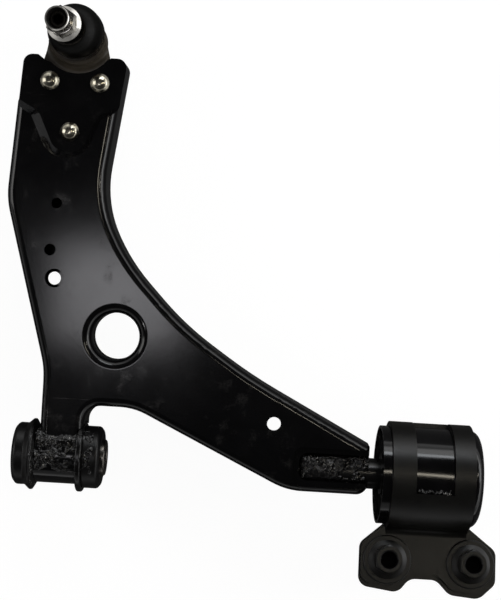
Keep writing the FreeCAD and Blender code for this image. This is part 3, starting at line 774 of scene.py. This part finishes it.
def keep_flats_flat(obj: bpy.types.Object, smooth_deg: float) -> None:
    """Give every corner the mean of the near-parallel faces at its point, by their planes' sizes.

    A face counts with the area of all faces in its plane, so a flat sheet's border takes the
    sheet's own direction and only the bends beside it are shaded round.

    Args:
        obj: a mesh object with joined faces.
        smooth_deg: faces that turn more than this from a corner's own face don't count.
    """
    mesh = obj.data
    loops = len(mesh.loops)
    normal, middle, area, total = face_facts(mesh)
    vert = np.zeros(loops, np.int32)
    mesh.loops.foreach_get("vertex_index", vert)
    height = (normal * middle).sum(1, keepdims=True)
    plane = np.round(np.concatenate([normal * PLANE_TURNS, height * PLANE_STEPS], 1))
    _, group = np.unique(plane.astype(np.int64), axis=0, return_inverse=True)
    group = group.reshape(-1)
    size = np.bincount(group, weights=area)[group]
    face = np.repeat(np.arange(len(total)), total)
    order = np.argsort(vert, kind="stable")
    counts = np.bincount(vert, minlength=len(mesh.vertices))
    starts = np.concatenate([[0], np.cumsum(counts)[:-1]])
    mine = np.repeat(np.arange(loops), counts[vert])
    ends = np.cumsum(counts[vert])
    step = np.arange(ends[-1]) - np.repeat(ends - counts[vert], counts[vert])
    other = order[starts[vert[mine]] + step]
    turn = (normal[face[mine]] * normal[face[other]]).sum(1)
    near = turn > math.cos(math.radians(smooth_deg))
    share = np.where(near, size[face[other]], 0.0)[:, None] * normal[face[other]]
    sums = [np.bincount(mine, weights=share[:, k], minlength=loops) for k in range(3)]
    out = np.stack(sums, -1)
    length = np.linalg.norm(out, axis=1)[:, None]
    out = np.where(length > NO_LENGTH, out / np.maximum(length, NO_LENGTH), normal[face])
    mesh.normals_split_custom_set([tuple(v) for v in out])


# ------------------------------------------------------------------ pieces
@dataclass(frozen=True)
class Recess:
    """A round recess darkened with painted shade: every point within a radius, past a height on its
    axis.
    """

    foot: tuple
    axis: tuple
    radius: float
    above: float
    strength: float = 1.0

    def shade_at(self, points: Array) -> Array:
        """Painted shade at each point.

        Args:
            points: (n, 3) positions.

        Returns:
            (n,) values, the strength inside the recess and 0 outside.
        """
        axis = np.asarray(self.axis, float) / np.linalg.norm(self.axis)
        gap = points - np.asarray(self.foot, float)
        along = gap @ axis
        across = np.linalg.norm(gap - along[:, None] * axis, axis=1)
        return np.where((across < self.radius) & (along > self.above), self.strength, 0.0)


class Bench:
    """What every sub-assembly needs: the frame's nodes, their bodies and the finishes."""

    def __init__(self, frame: dict, shop: Workshop) -> None:
        """Keep the frame and find the body and finish of every node.

        Args:
            frame: the loaded frame.
            shop: the finishes.
        """
        record = frame["record"]
        self.nodes, self.shop = frame["nodes"], shop
        self.body = {n: b for b, names in record["behaviour"]["bodies"].items() for n in names}
        self.finish = {s["node"]: s["material_slot"] for s in record["subparts"]}

    def stand_in(self, obj: bpy.types.Object, node: str) -> bpy.types.Object:
        """Let a piece stand for one node, on that node's body and in its finish."""
        return self.shop.place(obj, self.body[node], self.finish[node], node)

    def softened(self, node: str, smooth_deg: float = 32.0, shaded_holes: tuple = ()) -> bpy.types.Object:
        """Copy a node with its faces joined and shaded by area, so flats stay flat beside bends.

        Args:
            node: the node to copy.
            smooth_deg: edges that turn more than this stay sharp.
            shaded_holes: recesses, if any, that get painted shade.

        Returns:
            The piece, which stands for the node.
        """
        obj = bpy.data.objects.new(node + "_skin", self.nodes[node].data.copy())
        bpy.context.scene.collection.objects.link(obj)
        tidy(obj, smooth_deg)
        keep_flats_flat(obj, smooth_deg)
        if shaded_holes:
            # painted shade: each point takes the strongest shade of the recesses it lies in
            points = np.zeros(len(obj.data.vertices) * 3)
            obj.data.vertices.foreach_get("co", points)
            shade_at = np.max([hole.shade_at(points.reshape(-1, 3)) for hole in shaded_holes], axis=0)
            obj.data.attributes.new(SHADE_ATTRIBUTE, "FLOAT", "POINT").data.foreach_set("value", shade_at)
        return self.stand_in(obj, node)


def closed_patch(upper: Array, lower: Array) -> tuple[Array, Array]:
    """Closed slab between two grids of one shape: top, bottom and a wall round the rim.

    Args:
        upper: (rows, cols, 3) top surface.
        lower: (rows, cols, 3) bottom surface.

    Returns:
        Vertices and quads.
    """
    rows, cols = upper.shape[:2]
    n = rows * cols
    verts = np.concatenate([upper.reshape(-1, 3), lower.reshape(-1, 3)])
    top = grid_faces(rows, cols, False, False)
    rim = np.concatenate([np.arange(cols), np.arange(1, rows) * cols + cols - 1,
                          (rows - 1) * cols + np.arange(cols - 2, -1, -1),
                          np.arange(rows - 2, 0, -1) * cols])
    nxt = np.roll(rim, -1)
    wall = np.stack([rim, nxt, nxt + n, rim + n], -1)
    return verts, np.concatenate([top, top[:, ::-1] + n, wall])


def swept(along: Array, loop: Array) -> Array:
    """Points of a closed loop of (y, z) repeated at each place along x, loop after loop.

    Args:
        along: (m,) places along x.
        loop: (k, 2) points, or (m, k, 2) with a loop for each place.

    Returns:
        (m * k, 3) positions.
    """
    loop = np.broadcast_to(loop, (len(along), *loop.shape[-2:]))
    x = np.broadcast_to(along[:, None], loop.shape[:2])
    return np.stack([x, loop[..., 0], loop[..., 1]], -1).reshape(-1, 3)


def curve_through(points: list, count: int) -> Array:
    """Smooth line through points: cubic pieces whose slope at a point is half the step past it.

    Args:
        points: (u, v) points.
        count: number of samples.

    Returns:
        (count, 2) samples, even in the parameter.
    """
    p = np.asarray(points, float)
    p = np.concatenate([2 * p[:1] - p[1:2], p, 2 * p[-1:] - p[-2:-1]])
    t = np.linspace(0, len(points) - 1 - SAME_POINT, count)
    i = t.astype(int)
    f = (t - i)[:, None]
    a, b, c, d = p[i], p[i + 1], p[i + 2], p[i + 3]
    bend, twist = 2 * a - 5 * b + 4 * c - d, 3 * b - 3 * c + d - a
    return 0.5 * (2 * b + (c - a) * f + bend * f ** 2 + twist * f ** 3)


@dataclass
class ArmShells:
    """The two pressed shells, with the weld that fills the rear slot."""

    slot_x: tuple = (0.1716, 0.2213)
    slot_y: tuple = (-0.0059, 0.0138)
    grid: tuple = (190, 84)
    base_z: float = 0.0052
    deposit_z: float = 0.0108
    lump_cells: tuple = (0.0052, 0.0024, 0.0012)
    lump_weights: tuple = (0.9, 0.55, 0.30)
    lump_h: float = 0.0011
    rim_drop: float = 0.0022
    rim_w: float = 0.0015
    crown_h: float = 0.0017
    crown_at: float = 0.32
    crown_w: float = 0.28

    def build(self, bench: Bench) -> None:
        """Build and dress the shells and the slot's weld.

        Args:
            bench: the nodes and finishes.
        """
        for node in ("upper_shell", "lower_shell", "shell_seam_weld"):
            bench.softened(node)
        bench.stand_in(self.slot_weld(), "rear_pin_weld")

    def slot_weld(self) -> bpy.types.Object:
        """Rough pool of weld: a plan grid whose height is a level, a low crown and lumps.

        Lumps come in three sizes, and the level drops in a groove along the slot's rim.

        Returns:
            The pool.
        """
        (x0, x1), (y0, y1) = self.slot_x, self.slot_y
        x, y = np.meshgrid(np.linspace(x0, x1, self.grid[0]), np.linspace(y0, y1, self.grid[1]),
                           indexing="ij")
        u, v = (x - x0) / (x1 - x0), (y - y0) / (y1 - y0)
        flat = np.stack([x, y, np.zeros_like(x)], -1).reshape(-1, 3)
        lumps = lump_mix(flat, self.lump_cells, self.lump_weights, seed=3).reshape(x.shape)
        edge = np.minimum(np.minimum(v, 1 - v) * (y1 - y0), u * (x1 - x0))
        height = self.deposit_z + self.lump_h * lumps
        height -= self.rim_drop * np.exp(-(edge / self.rim_w) ** 2)
        ridge = np.exp(-((u - self.crown_at) / self.crown_w) ** 2)
        height += self.crown_h * np.sin(np.pi * v) * ridge
        top = np.stack([x, y, height], -1)
        bottom = np.stack([x, y, np.full_like(x, self.base_z)], -1)
        return mesh_object("slot_weld_pool", *closed_patch(top, bottom), smooth_deg=60.0)


@dataclass
class FrontBush:
    """Tube, sleeves, bonded rubber and the rough weld round the tube."""

    tube_r: float = 0.0200
    tube_x: tuple = (-0.0162, 0.0133)
    ring_x: float = 0.0176
    core_r: float = 0.01305
    lip_r: float = 0.0255
    end_r: float = 0.0223
    face_r: tuple = (0.0196, 0.0194)
    ends_x: tuple = (-0.0322, 0.0303)
    sleeve_in_r: float = 0.01598
    gap: float = 0.00005
    segments: int = 144
    skin_at: tuple = (-0.0260, -0.0222, -0.0195, -0.0180, -0.0163, -0.0161, 0.0132, 0.0134,
                      0.0175, 0.0177, 0.0280)
    skin_r: tuple = (0.0222, 0.0235, 0.0254, 0.0250, 0.0214, 0.0200, 0.0200, 0.0252,
                     0.0252, 0.0223, 0.0223)
    weld_x: tuple = (-0.0235, 0.0262)
    weld_deg: tuple = (30.0, 150.0)
    weld_grid: tuple = (210, 230)
    lump_cells: tuple = (0.0040, 0.0021, 0.0011)
    lump_weights: tuple = (1.0, 0.8, 0.5)
    lump_h: float = 0.00075
    tube_level: float = 0.00040
    rubber_level: float = -0.00038
    bare_level: float = -0.0009
    ring_h: float = 0.00025
    neck_deg: float = 52.0
    fillet_h: float = 0.0024
    fillet_deg: float = 9.0
    reach_deg: float = 132.0
    fade_deg: float = 26.0
    step_w: float = 0.001
    edge_w: float = 0.002
    thick: tuple = (-0.0006, 0.0034)
    root_depth: float = 0.0012

    def build(self, bench: Bench) -> None:
        """Build and dress the bush.

        Args:
            bench: the nodes and finishes.
        """
        for node in ("front_bush_tube", "front_bush_outer_sleeve", "front_bush_inner_sleeve"):
            bench.softened(node)
        bench.stand_in(self.rubber(), "front_bush_rubber")
        bench.stand_in(self.weld(), "front_tube_weld")

    def profile(self) -> Array:
        """Outline of the rubber along the axis: end, lip, bonded length, end, corners eased.

        Returns:
            (n, 2) closed loop of (along the axis, radius).
        """
        x0, x1 = self.ends_x
        t0, ring = self.tube_x[0] - self.gap, self.ring_x + self.gap
        lip1, lip2 = self.tube_x[0] - 0.0036, self.tube_x[0] - 0.0076
        points = [(x0, self.core_r, 0), (x0, self.face_r[0], 0.0012),
                  (x0 + 0.0022, self.end_r, 0.0028), (lip2, self.end_r - 0.0001, 0.0012),
                  (lip1 - 0.0004, self.lip_r, 0.0011), (lip1 + 0.0010, self.lip_r, 0.0008),
                  (t0, self.tube_r + 0.0010, 0.0006), (t0, self.sleeve_in_r, 0),
                  (ring, self.sleeve_in_r, 0), (ring, self.end_r, 0.0009),
                  (x1 - 0.0022, self.end_r, 0.0028), (x1, self.face_r[1], 0.0012),
                  (x1, self.core_r, 0)]
        return rounded_loop(points, step=0.0003)

    def rubber(self) -> bpy.types.Object:
        """Bonded rubber: the outline turned once round the pivot axis."""
        return mesh_object("front_rubber_moulding",
                           *turned(self.profile(), self.segments, Axis.PIVOT), smooth_deg=40.0)

    def weld(self) -> bpy.types.Object:
        """Rough weld and spatter: a skin over the bush, a fillet at the neck plus lumps thick.

        Where the lumps are low the skin dips just under the surface, so the spatter ends in
        islands.

        Returns:
            The skin, closed by a face inside the bush.
        """
        (x0, x1), low = self.weld_x, self.thick[0]
        x, a = np.meshgrid(np.linspace(x0, x1, self.weld_grid[0]),
                           np.radians(np.linspace(*self.weld_deg, self.weld_grid[1])),
                           indexing="ij")
        deg = np.degrees(a)
        base = np.interp(x, self.skin_at, self.skin_r)
        flat = np.stack([x, base * np.cos(a), base * np.sin(a)], -1).reshape(-1, 3)
        lumps = lump_mix(flat, self.lump_cells, self.lump_weights, seed=11).reshape(x.shape)
        start, end = self.tube_x[0] - 0.0003, self.tube_x[1] + 0.0003
        on_tube = smooth01((x - start) / self.step_w) * smooth01((end - x) / self.step_w)
        past_neck = np.maximum(deg - self.neck_deg, 0.0) / self.fillet_deg
        fillet = self.fillet_h * np.exp(-past_neck ** 2) * on_tube
        wander = 10.0 * np.sin(x * 260.0)
        reach = smooth01((self.reach_deg + wander - deg) / self.fade_deg)
        spread = self.tube_level * on_tube + self.rubber_level * (1 - on_tube)
        level = spread * reach + self.bare_level * (1 - reach)
        ring = self.ring_h * smooth01((x - self.ring_x + 0.0001) / self.step_w)
        thick = np.clip(level + self.lump_h * lumps * reach + fillet + ring, *self.thick)
        edge = np.minimum(smooth01((x - x0) / self.edge_w), smooth01((x1 - x) / self.edge_w))
        outer, inner = base + thick * edge + low * (1 - edge), base - self.root_depth
        top, bottom = (np.stack([x, r * np.cos(a), r * np.sin(a)], -1) for r in (outer, inner))
        return mesh_object("front_weld_spatter", *closed_patch(top, bottom), smooth_deg=70.0)


@dataclass
class RearBush:
    """Pin, core, rubber and pressed can."""

    core_r: float = 0.01460
    can_r: float = 0.03278
    ends_x: tuple = (0.2320, 0.2940)
    segments: int = 144

    def build(self, bench: Bench) -> None:
        """Build and dress the bush.

        Args:
            bench: the nodes and finishes.
        """
        for node in ("rear_pin", "rear_bush_core", "rear_bush_can"):
            bench.softened(node)
        bench.stand_in(self.rubber(), "rear_bush_rubber")

    def rubber(self) -> bpy.types.Object:
        """Bonded rubber with a dished groove in each end, turned round the pivot axis.

        Returns:
            The rubber.
        """
        (x0, x1), r0, r1 = self.ends_x, self.core_r, self.can_r
        mid = (r0 + r1) / 2
        # How far each corner lies in from the end, its radius and its rounding.
        end = [(0.0032, r0, 0), (0.0002, r0 + 0.0018, 0.0012), (0.0052, mid, 0.0050),
               (0.0008, r1 - 0.0024, 0.0014), (0.0018, r1, 0.0005)]
        points = [(x0 + inset, r, c) for inset, r, c in end]
        points += [(x1 - inset, r, c) for inset, r, c in reversed(end)]
        loop = rounded_loop(points, step=0.0004)
        return mesh_object("rear_rubber_moulding", *turned(loop, self.segments, Axis.PIVOT),
                           smooth_deg=40.0)


@dataclass
class RearBracket:
    """Strap leaves, captive nuts and the weld in the strap's window."""

    window_x: tuple = (0.2526, 0.2786)
    window_y: float = -0.0145
    can_r: float = 0.0350
    tilt_deg: float = -12.0
    nuts: tuple = ((0.2376, -0.056766, 0.021523), (0.2966, -0.056766, 0.021523))
    nut_axis: tuple = (0.0, 0.2079, 0.9781)
    nut_mouth_r: float = 0.0060
    nut_depth: float = 0.0100
    strap_r: float = 0.0385
    strap_x: tuple = (0.2359, 0.2935)
    plate_z: float = 0.0035
    fillet_r: float = 0.0050
    fillet_points: tuple = (40, 18)
    sink: float = 0.0008
    bead_points: tuple = (150, 28)
    bead_r: float = 0.00165
    bead_end: float = 0.0008
    bead_squash: float = 0.9
    ripple: float = 0.00035
    ripple_turn: float = 62.0
    fade: float = 0.05
    tip_share: float = 0.12
    wander: tuple = ((0.0006, 21.0, 0.0), (0.0004, 47.0, 1.0))
    lump_h: float = 0.00022
    lump_cell: float = 0.0011

    def build(self, bench: Bench) -> None:
        """Build and dress the bracket.

        Args:
            bench: the nodes and finishes.
        """
        for node in ("rear_bracket_upper_leaf", "rear_bracket_lower_leaf"):
            bench.softened(node)
        # painted shade: the nuts' bores are darkened and lose their mirror
        mouths = tuple(Recess(nut, self.nut_axis, self.nut_mouth_r, -self.nut_depth)
                       for nut in self.nuts)
        bench.softened("rear_bracket_nuts", shaded_holes=mouths)
        bench.stand_in(self.weld(), "rear_bracket_weld")
        bench.shop.place(self.root_fillet(), "rear_bracket", "bracket_paint")

    def tilted(self, points: Array) -> Array:
        """Points turned about the pivot line by the bracket's resting tilt."""
        c, s = math.cos(math.radians(self.tilt_deg)), math.sin(math.radians(self.tilt_deg))
        return points @ np.array([[1, 0, 0], [0, c, -s], [0, s, c]]).T

    def root_fillet(self) -> bpy.types.Object:
        """Bend where the strap runs into the plate: an arc that touches both, run along x.

        The arc's centre is its radius above the plate and its radius outside the strap.

        Returns:
            The bend, closed behind by three corners sunk in the plate and the strap.
        """
        r, outer, z = self.fillet_r, self.strap_r, self.plate_z
        cz = z + r
        cy = -math.sqrt((outer + r) ** 2 - cz ** 2)
        a = np.linspace(math.atan2(-cz, -cy), -math.pi / 2, self.fillet_points[1])
        arc = np.stack([cy + r * np.cos(a), cz + r * np.sin(a)], -1)
        corners = np.array([[cy, z - self.sink], [-outer + 0.0010, z - self.sink],
                            [arc[0, 0] + 0.0012, arc[0, 1]]])
        loop = np.concatenate([arc, corners])
        along = np.linspace(*self.strap_x, self.fillet_points[0])
        return mesh_object("bracket_root_fillet", self.tilted(swept(along, loop)),
                           capped_faces(len(along), len(loop)), smooth_deg=40.0)

    def weld(self) -> bpy.types.Object:
        """Weld run: a ripple-ridged bead along the window's lower edge, wandering a little.

        Its section is a flattened circle on the can, whose size ripples and fades at the ends.

        Returns:
            The bead.
        """
        t = np.linspace(0.0, 1.0, self.bead_points[0])
        x0, x1 = self.window_x
        x = x0 + self.bead_end + t * (x1 - x0 - 2 * self.bead_end)
        wander = sum(far * np.sin(t * turn + lag) for far, turn, lag in self.wander)
        angle = np.arcsin((self.window_y + 0.0013 + wander) / (self.can_r + 0.0006))
        ends = np.sqrt(np.clip(np.minimum(t, 1 - t) / self.fade, 0.0, 1.0))
        size = self.bead_r + self.ripple * np.sin(t * self.ripple_turn)
        size *= self.tip_share + (1 - self.tip_share) * ends
        s = np.linspace(0.0, 2 * math.pi, self.bead_points[1], endpoint=False)
        a = angle[:, None] + size[:, None] * np.cos(s) / self.can_r
        r = self.can_r + 0.0005 + size[:, None] * np.sin(s) * self.bead_squash
        points = swept(x, np.stack([r * np.sin(a), r * np.cos(a)], -1))
        points += self.lump_h * lattice_noise(points, self.lump_cell, seed=21)[:, None]
        return mesh_object("window_weld_bead", self.tilted(points), capped_faces(len(t), len(s)),
                           smooth_deg=60.0)


@dataclass
class BallJoint:
    """Forged housing, its seat, disc and cap, and the three rivets."""

    rivets: tuple = ((-0.0222, 0.2681), (0.0136, 0.2681), (-0.0060, 0.2322))
    pad_z: float = 0.00805
    head_r: float = 0.0070
    head_h: float = 0.0042
    shank_r: float = 0.0040
    foot_z: float = -0.0056
    foot_r: float = 0.0065
    foot_h: float = 0.0030
    segments: int = 64
    dent_h: float = 0.00008
    dent_cell: float = 0.0021
    dent_way: tuple = (0.3, 0.3, 1.0)

    def build(self, bench: Bench) -> None:
        """Build and dress the joint.

        Args:
            bench: the nodes and finishes.
        """
        for node in ("ball_joint_housing", "ball_joint_race", "ball_joint_preload_disc",
                     "ball_joint_cap", "boot_base_clip", "boot_neck_clip"):
            bench.softened(node)
        bench.stand_in(self.rivet_set(), "ball_joint_rivets")

    def outline(self) -> Array:
        """Half outline of a rivet: domed head, turned-down rim, shank and formed foot.

        Returns:
            (n, 2) closed loop of (height, radius).
        """
        pad, foot, head = self.pad_z, self.foot_z, self.head_h
        points = [(pad + head, 0.0, 0.0), (pad + head * 0.955, 0.0024, 0.004),
                  (pad + head * 0.64, 0.0050, 0.004), (pad + 0.0004, self.head_r, 0.0008),
                  (pad, self.head_r - 0.0002, 0.0002), (pad, self.shank_r, 0),
                  (foot, self.shank_r, 0), (foot, self.foot_r, 0.0003),
                  (foot - 0.0018, self.foot_r, 0.0008),
                  (foot - self.foot_h, self.foot_r - 0.0016, 0.0008),
                  (foot - self.foot_h, 0.0, 0)]
        return rounded_loop(points, step=0.0004)

    def rivet_set(self) -> bpy.types.Object:
        """Three formed rivets: the outline turned about each rivet's axis, with small dents.

        Returns:
            The rivets as one piece.
        """
        verts, faces = [], []
        loop = self.outline()
        for index, (x, y) in enumerate(self.rivets):
            points, quads = turned(loop, self.segments, Axis.UPRIGHT, (x, y, 0.0))
            dents = lattice_noise(points, self.dent_cell, seed=31 + index) * self.dent_h
            verts.append(points + dents[:, None] * np.array(self.dent_way))
            faces.append(quads + index * len(points))
        return mesh_object("formed_rivets", np.concatenate(verts), np.concatenate(faces),
                           smooth_deg=40.0)


@dataclass
class Boot:
    """Rubber boot in two lengths: arm to cradle below, cradle to stud above."""

    centre: tuple = (-0.0038, 0.3015)
    lean_deg: float = 4.5
    lean_dir: tuple = (-0.78, -0.62)
    lean_z: tuple = (0.016, 0.037)
    foot_z: float = 0.0125
    split_z: float = 0.0195
    neck_z: float = 0.0352
    wall: float = 0.0018
    bore_r: float = 0.0090
    line_points: int = 160
    segments: int = 128
    outline: tuple = ((0.0184, 0.0108), (0.01845, 0.0130), (0.0188, 0.0165), (0.0192, 0.0205),
                      (0.0188, 0.0252), (0.0166, 0.0303), (0.0131, 0.0341), (0.0113, 0.0366),
                      (0.0109, 0.0386), (0.0109, 0.0410))

    def build(self, bench: Bench) -> None:
        """Build both lengths and let them stand for the boot together.

        Args:
            bench: the nodes and finishes.
        """
        line = curve_through(list(self.outline), self.line_points)
        split = int(np.argmin(np.abs(line[:, 1] - self.split_z)))
        lower = self.length("boot_lower_bulb", line[:split + 1])
        upper = self.length("boot_upper_neck", line[split:])
        bench.shop.dress(lower, "boot_rubber")
        bench.shop.dress(upper, "boot_rubber")
        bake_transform(lower)
        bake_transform(upper)
        for piece in (lower, upper):
            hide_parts("boot")
            LOG.info("%s: %d faces", piece.name, len(piece.data.polygons))

    def length(self, name: str, line: Array) -> bpy.types.Object:
        """One length: an outline and the same line a wall further in, turned about the joint.

        Each ring is then turned about the ball's centre by a lean that grows with its height.

        Args:
            name: the piece's name.
            line: (n, 2) outline of (radius, height).

        Returns:
            The length.
        """
        inner = line[::-1].copy()
        inner[:, 0] = np.maximum(inner[:, 0] - self.wall, self.bore_r)
        loop = np.concatenate([line, inner])
        a = np.linspace(0, 2 * math.pi, self.segments, endpoint=False)[:, None]
        r, z = loop[:, 0], loop[:, 1]
        points = np.stack([r * np.cos(a), r * np.sin(a), np.broadcast_to(z, (len(a), len(z)))], -1)
        z0, z1 = self.lean_z
        turn = np.radians(self.lean_deg) * smooth01((z - z0) / (z1 - z0))
        k = np.array([-self.lean_dir[1], self.lean_dir[0], 0.0])
        k /= np.linalg.norm(k)
        c, s = np.cos(turn)[None, :, None], np.sin(turn)[None, :, None]
        points = points * c + np.cross(k, points) * s + k * (points @ k)[..., None] * (1 - c)
        points = points.reshape(-1, 3) + np.array([*self.centre, 0.0])
        return mesh_object(name, points, grid_faces(len(a), len(loop), True, True), smooth_deg=40.0)


@dataclass
class Stud:
    """Ball stud and its flanged collar nut."""

    ball: tuple = (-0.0038, 0.3015, 0.0)
    axis: tuple = (-0.0612, -0.0486, 0.9969)
    tip_z: float = 0.0600
    tip_r: float = 0.0070
    tip_shade: float = 0.80
    socket_r: float = 0.0036
    mouth_z: float = 0.0690
    mouth_r: float = 0.0076
    mouth_shade: float = 0.95

    def build(self, bench: Bench) -> None:
        """Dress the stud and nut, with painted shade on the stud's end, in its socket and in the
        nut's mouth.

        Args:
            bench: the nodes and finishes.
        """
        # painted shade: the stud's end, its socket and the nut's mouth are darkened and lose their
        # mirror
        tip = Recess(self.ball, self.axis, self.tip_r, self.tip_z, self.tip_shade)
        socket = Recess(self.ball, self.axis, self.socket_r, self.tip_z)
        mouth = Recess(self.ball, self.axis, self.mouth_r, self.mouth_z, self.mouth_shade)
        bench.softened("ball_stud", shaded_holes=(tip, socket))
        bench.softened("stud_nut", shaded_holes=(mouth,))


# ------------------------------------------------------------------ studio
@dataclass(frozen=True)
class Softbox:
    """One soft rectangular light aimed at a point."""

    name: str
    place: tuple
    aim: tuple
    size: tuple
    watts: float
    color: tuple

    def light(self) -> None:
        """Put the light in the scene, its face towards the aim."""
        data = bpy.data.lights.new(self.name, "AREA")
        data.shape, data.energy, data.color = "RECTANGLE", self.watts, self.color
        data.size, data.size_y = self.size
        obj = bpy.data.objects.new(self.name, data)
        obj.location = self.place
        way = Vector(self.aim) - Vector(self.place)
        obj.rotation_euler = way.to_track_quat("-Z", "Y").to_euler()
        bpy.context.scene.collection.objects.link(obj)


@dataclass
class Studio:
    """Pale floor, soft lights and the camera."""

    camera_height: float = 0.860
    camera_xy: tuple = (0.1302, 0.1198)
    roll_deg: float = 3.4
    lens: float = 71.5
    sensor: float = 36.0
    nearest: float = 0.05
    floor_drop: float = 0.0006
    floor_half: float = 60.0
    floor_grey: float = 0.14
    floor_roughness: float = 0.9
    floor_specular: float = 0.1
    floor_glow: float = 0.95
    air_low: float = 0.80
    air_high: float = 0.02
    air_z: tuple = (0.06, 0.30)
    band: float = 1.8
    band_rise: tuple = (0.20, 0.28)
    band_fall: tuple = (0.42, 0.50)
    band_side: tuple = (0.80, 0.60, 0.0)
    band_turn: tuple = (-0.3, 0.7)
    band_back: float = 0.12
    lights: tuple = (
        Softbox("sheen", (-0.13, 0.1175, 1.50), (-0.13, 0.1175, 0.0), (0.24, 0.185), 0.57,
                (0.97, 0.96, 1.0)),
        Softbox("warm_strip", (0.50, 0.33, 1.50), (0.25, 0.0, 0.0), (0.30, 0.08), 0.7,
                (1.0, 0.92, 0.76)),
        Softbox("cool_strip", (0.35, 1.60, 1.00), (0.20, 0.0, 0.0), (0.90, 0.22), 3.2,
                (0.92, 0.96, 1.0)),
        Softbox("left_fill", (-1.60, 0.40, 0.90), (0.0, 0.15, 0.0), (0.80, 0.80), 4.0,
                (1.0, 0.98, 0.96)),
        Softbox("right_fill", (1.70, 0.50, 0.80), (0.10, 0.15, 0.0), (1.00, 0.70), 3.0,
                (0.98, 0.99, 1.0)),
        Softbox("left_spark", (-0.75, -0.25, 1.35), (0.0, 0.05, 0.0), (0.06, 0.06), 0.50,
                (1.0, 0.99, 0.98)),
        Softbox("right_spark", (1.15, 0.40, 1.20), (0.15, 0.05, 0.0), (0.06, 0.06), 0.60,
                (1.0, 0.93, 0.80)),
    )

    def build(self, lowest: float) -> None:
        """Make the floor, world, lights and camera.

        Args:
            lowest: the object's lowest height.
        """
        self._floor(lowest - self.floor_drop)
        self._world()
        for softbox in self.lights:
            softbox.light()
        self._camera()
        bpy.context.scene.view_settings.view_transform = "Standard"

    def _floor(self, z: float) -> None:
        """Large flat sheet of matte pale card, which glows only where it is looked at directly.

        Args:
            z: its height.
        """
        r = self.floor_half
        verts = np.array([[-r, -r, z], [r, -r, z], [r, r, z], [-r, r, z]])
        obj = mesh_object("studio_floor", verts, [(0, 1, 2, 3)])
        mat = bpy.data.materials.new("studio_card")
        mat.use_nodes = True
        book, bsdf = NodeBook(mat.node_tree), mat.node_tree.nodes["Principled BSDF"]
        seen = book.add("ShaderNodeLightPath").outputs["Is Camera Ray"]
        white, grey = (1.0, 1.0, 1.0, 1.0), (*(self.floor_grey,) * 3, 1.0)
        for name, item in (("Base Color", grey), ("Roughness", self.floor_roughness),
                           ("Specular IOR Level", self.floor_specular), ("Emission Color", white),
                           ("Emission Strength", book.math("MULTIPLY", seen, self.floor_glow))):
            book.feed(bsdf, name, item)
        obj.data.materials.append(mat)
        obj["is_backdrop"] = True

    def _world(self) -> None:
        """Dim surround with one pale band low on one side, white where it is looked at directly."""
        world = bpy.data.worlds.new("studio_air")
        world.use_nodes = True
        book, back = NodeBook(world.node_tree), world.node_tree.nodes["Background"]
        way = book.add("ShaderNodeTexCoord").outputs["Generated"]
        up = book.add("ShaderNodeSeparateXYZ", Vector=way).outputs["Z"]
        side = book.add("ShaderNodeVectorMath", operation="DOT_PRODUCT")
        book.feed(side, 0, way)
        book.feed(side, 1, self.band_side)
        low = book.span(up, *self.air_z, self.air_low, self.air_high)
        rise = book.span(up, *self.band_rise, 0.0, self.band)
        fall = book.span(up, *self.band_fall, 1.0, 0.0)
        near = book.span(side.outputs["Value"], *self.band_turn, self.band_back, 1.0)
        band = book.math("MULTIPLY", book.math("MULTIPLY", rise, fall), near)
        seen = book.add("ShaderNodeLightPath").outputs["Is Camera Ray"]
        book.feed(back, "Color", (1.0, 1.0, 1.0, 1.0))
        book.feed(back, "Strength", book.math("MAXIMUM", book.math("ADD", low, band), seen))
        bpy.context.scene.world = world

    def _camera(self) -> None:
        """Camera straight above, turned a little about the line of sight."""
        data = bpy.data.cameras.new("camera")
        data.lens, data.sensor_width, data.clip_start = self.lens, self.sensor, self.nearest
        obj = bpy.data.objects.new("camera", data)
        c, s = math.cos(math.radians(self.roll_deg)), math.sin(math.radians(self.roll_deg))
        x, y = self.camera_xy
        obj.matrix_world = Matrix(((c, -s, 0, x), (s, c, 0, y), (0, 0, 1, self.camera_height),
                                   (0, 0, 0, 1)))
        bpy.context.scene.collection.objects.link(obj)
        bpy.context.scene.camera = obj


def main() -> None:
    """Build every sub-assembly in order and set the studio round it."""
    logging.basicConfig(level=logging.INFO, format="%(name)s %(message)s")
    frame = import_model()
    cad_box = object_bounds()
    shop = Workshop(EffectLibrary())
    shop.dress_nodes(frame)
    bench = Bench(frame, shop)
    for part in (ArmShells(), FrontBush(), RearBush(), RearBracket(), BallJoint(), Boot(), Stud()):
        LOG.info("building %s", type(part).__name__)
        part.build(bench)
    Studio().build(cad_box[0].z)


if __name__ == "__main__":
    main()
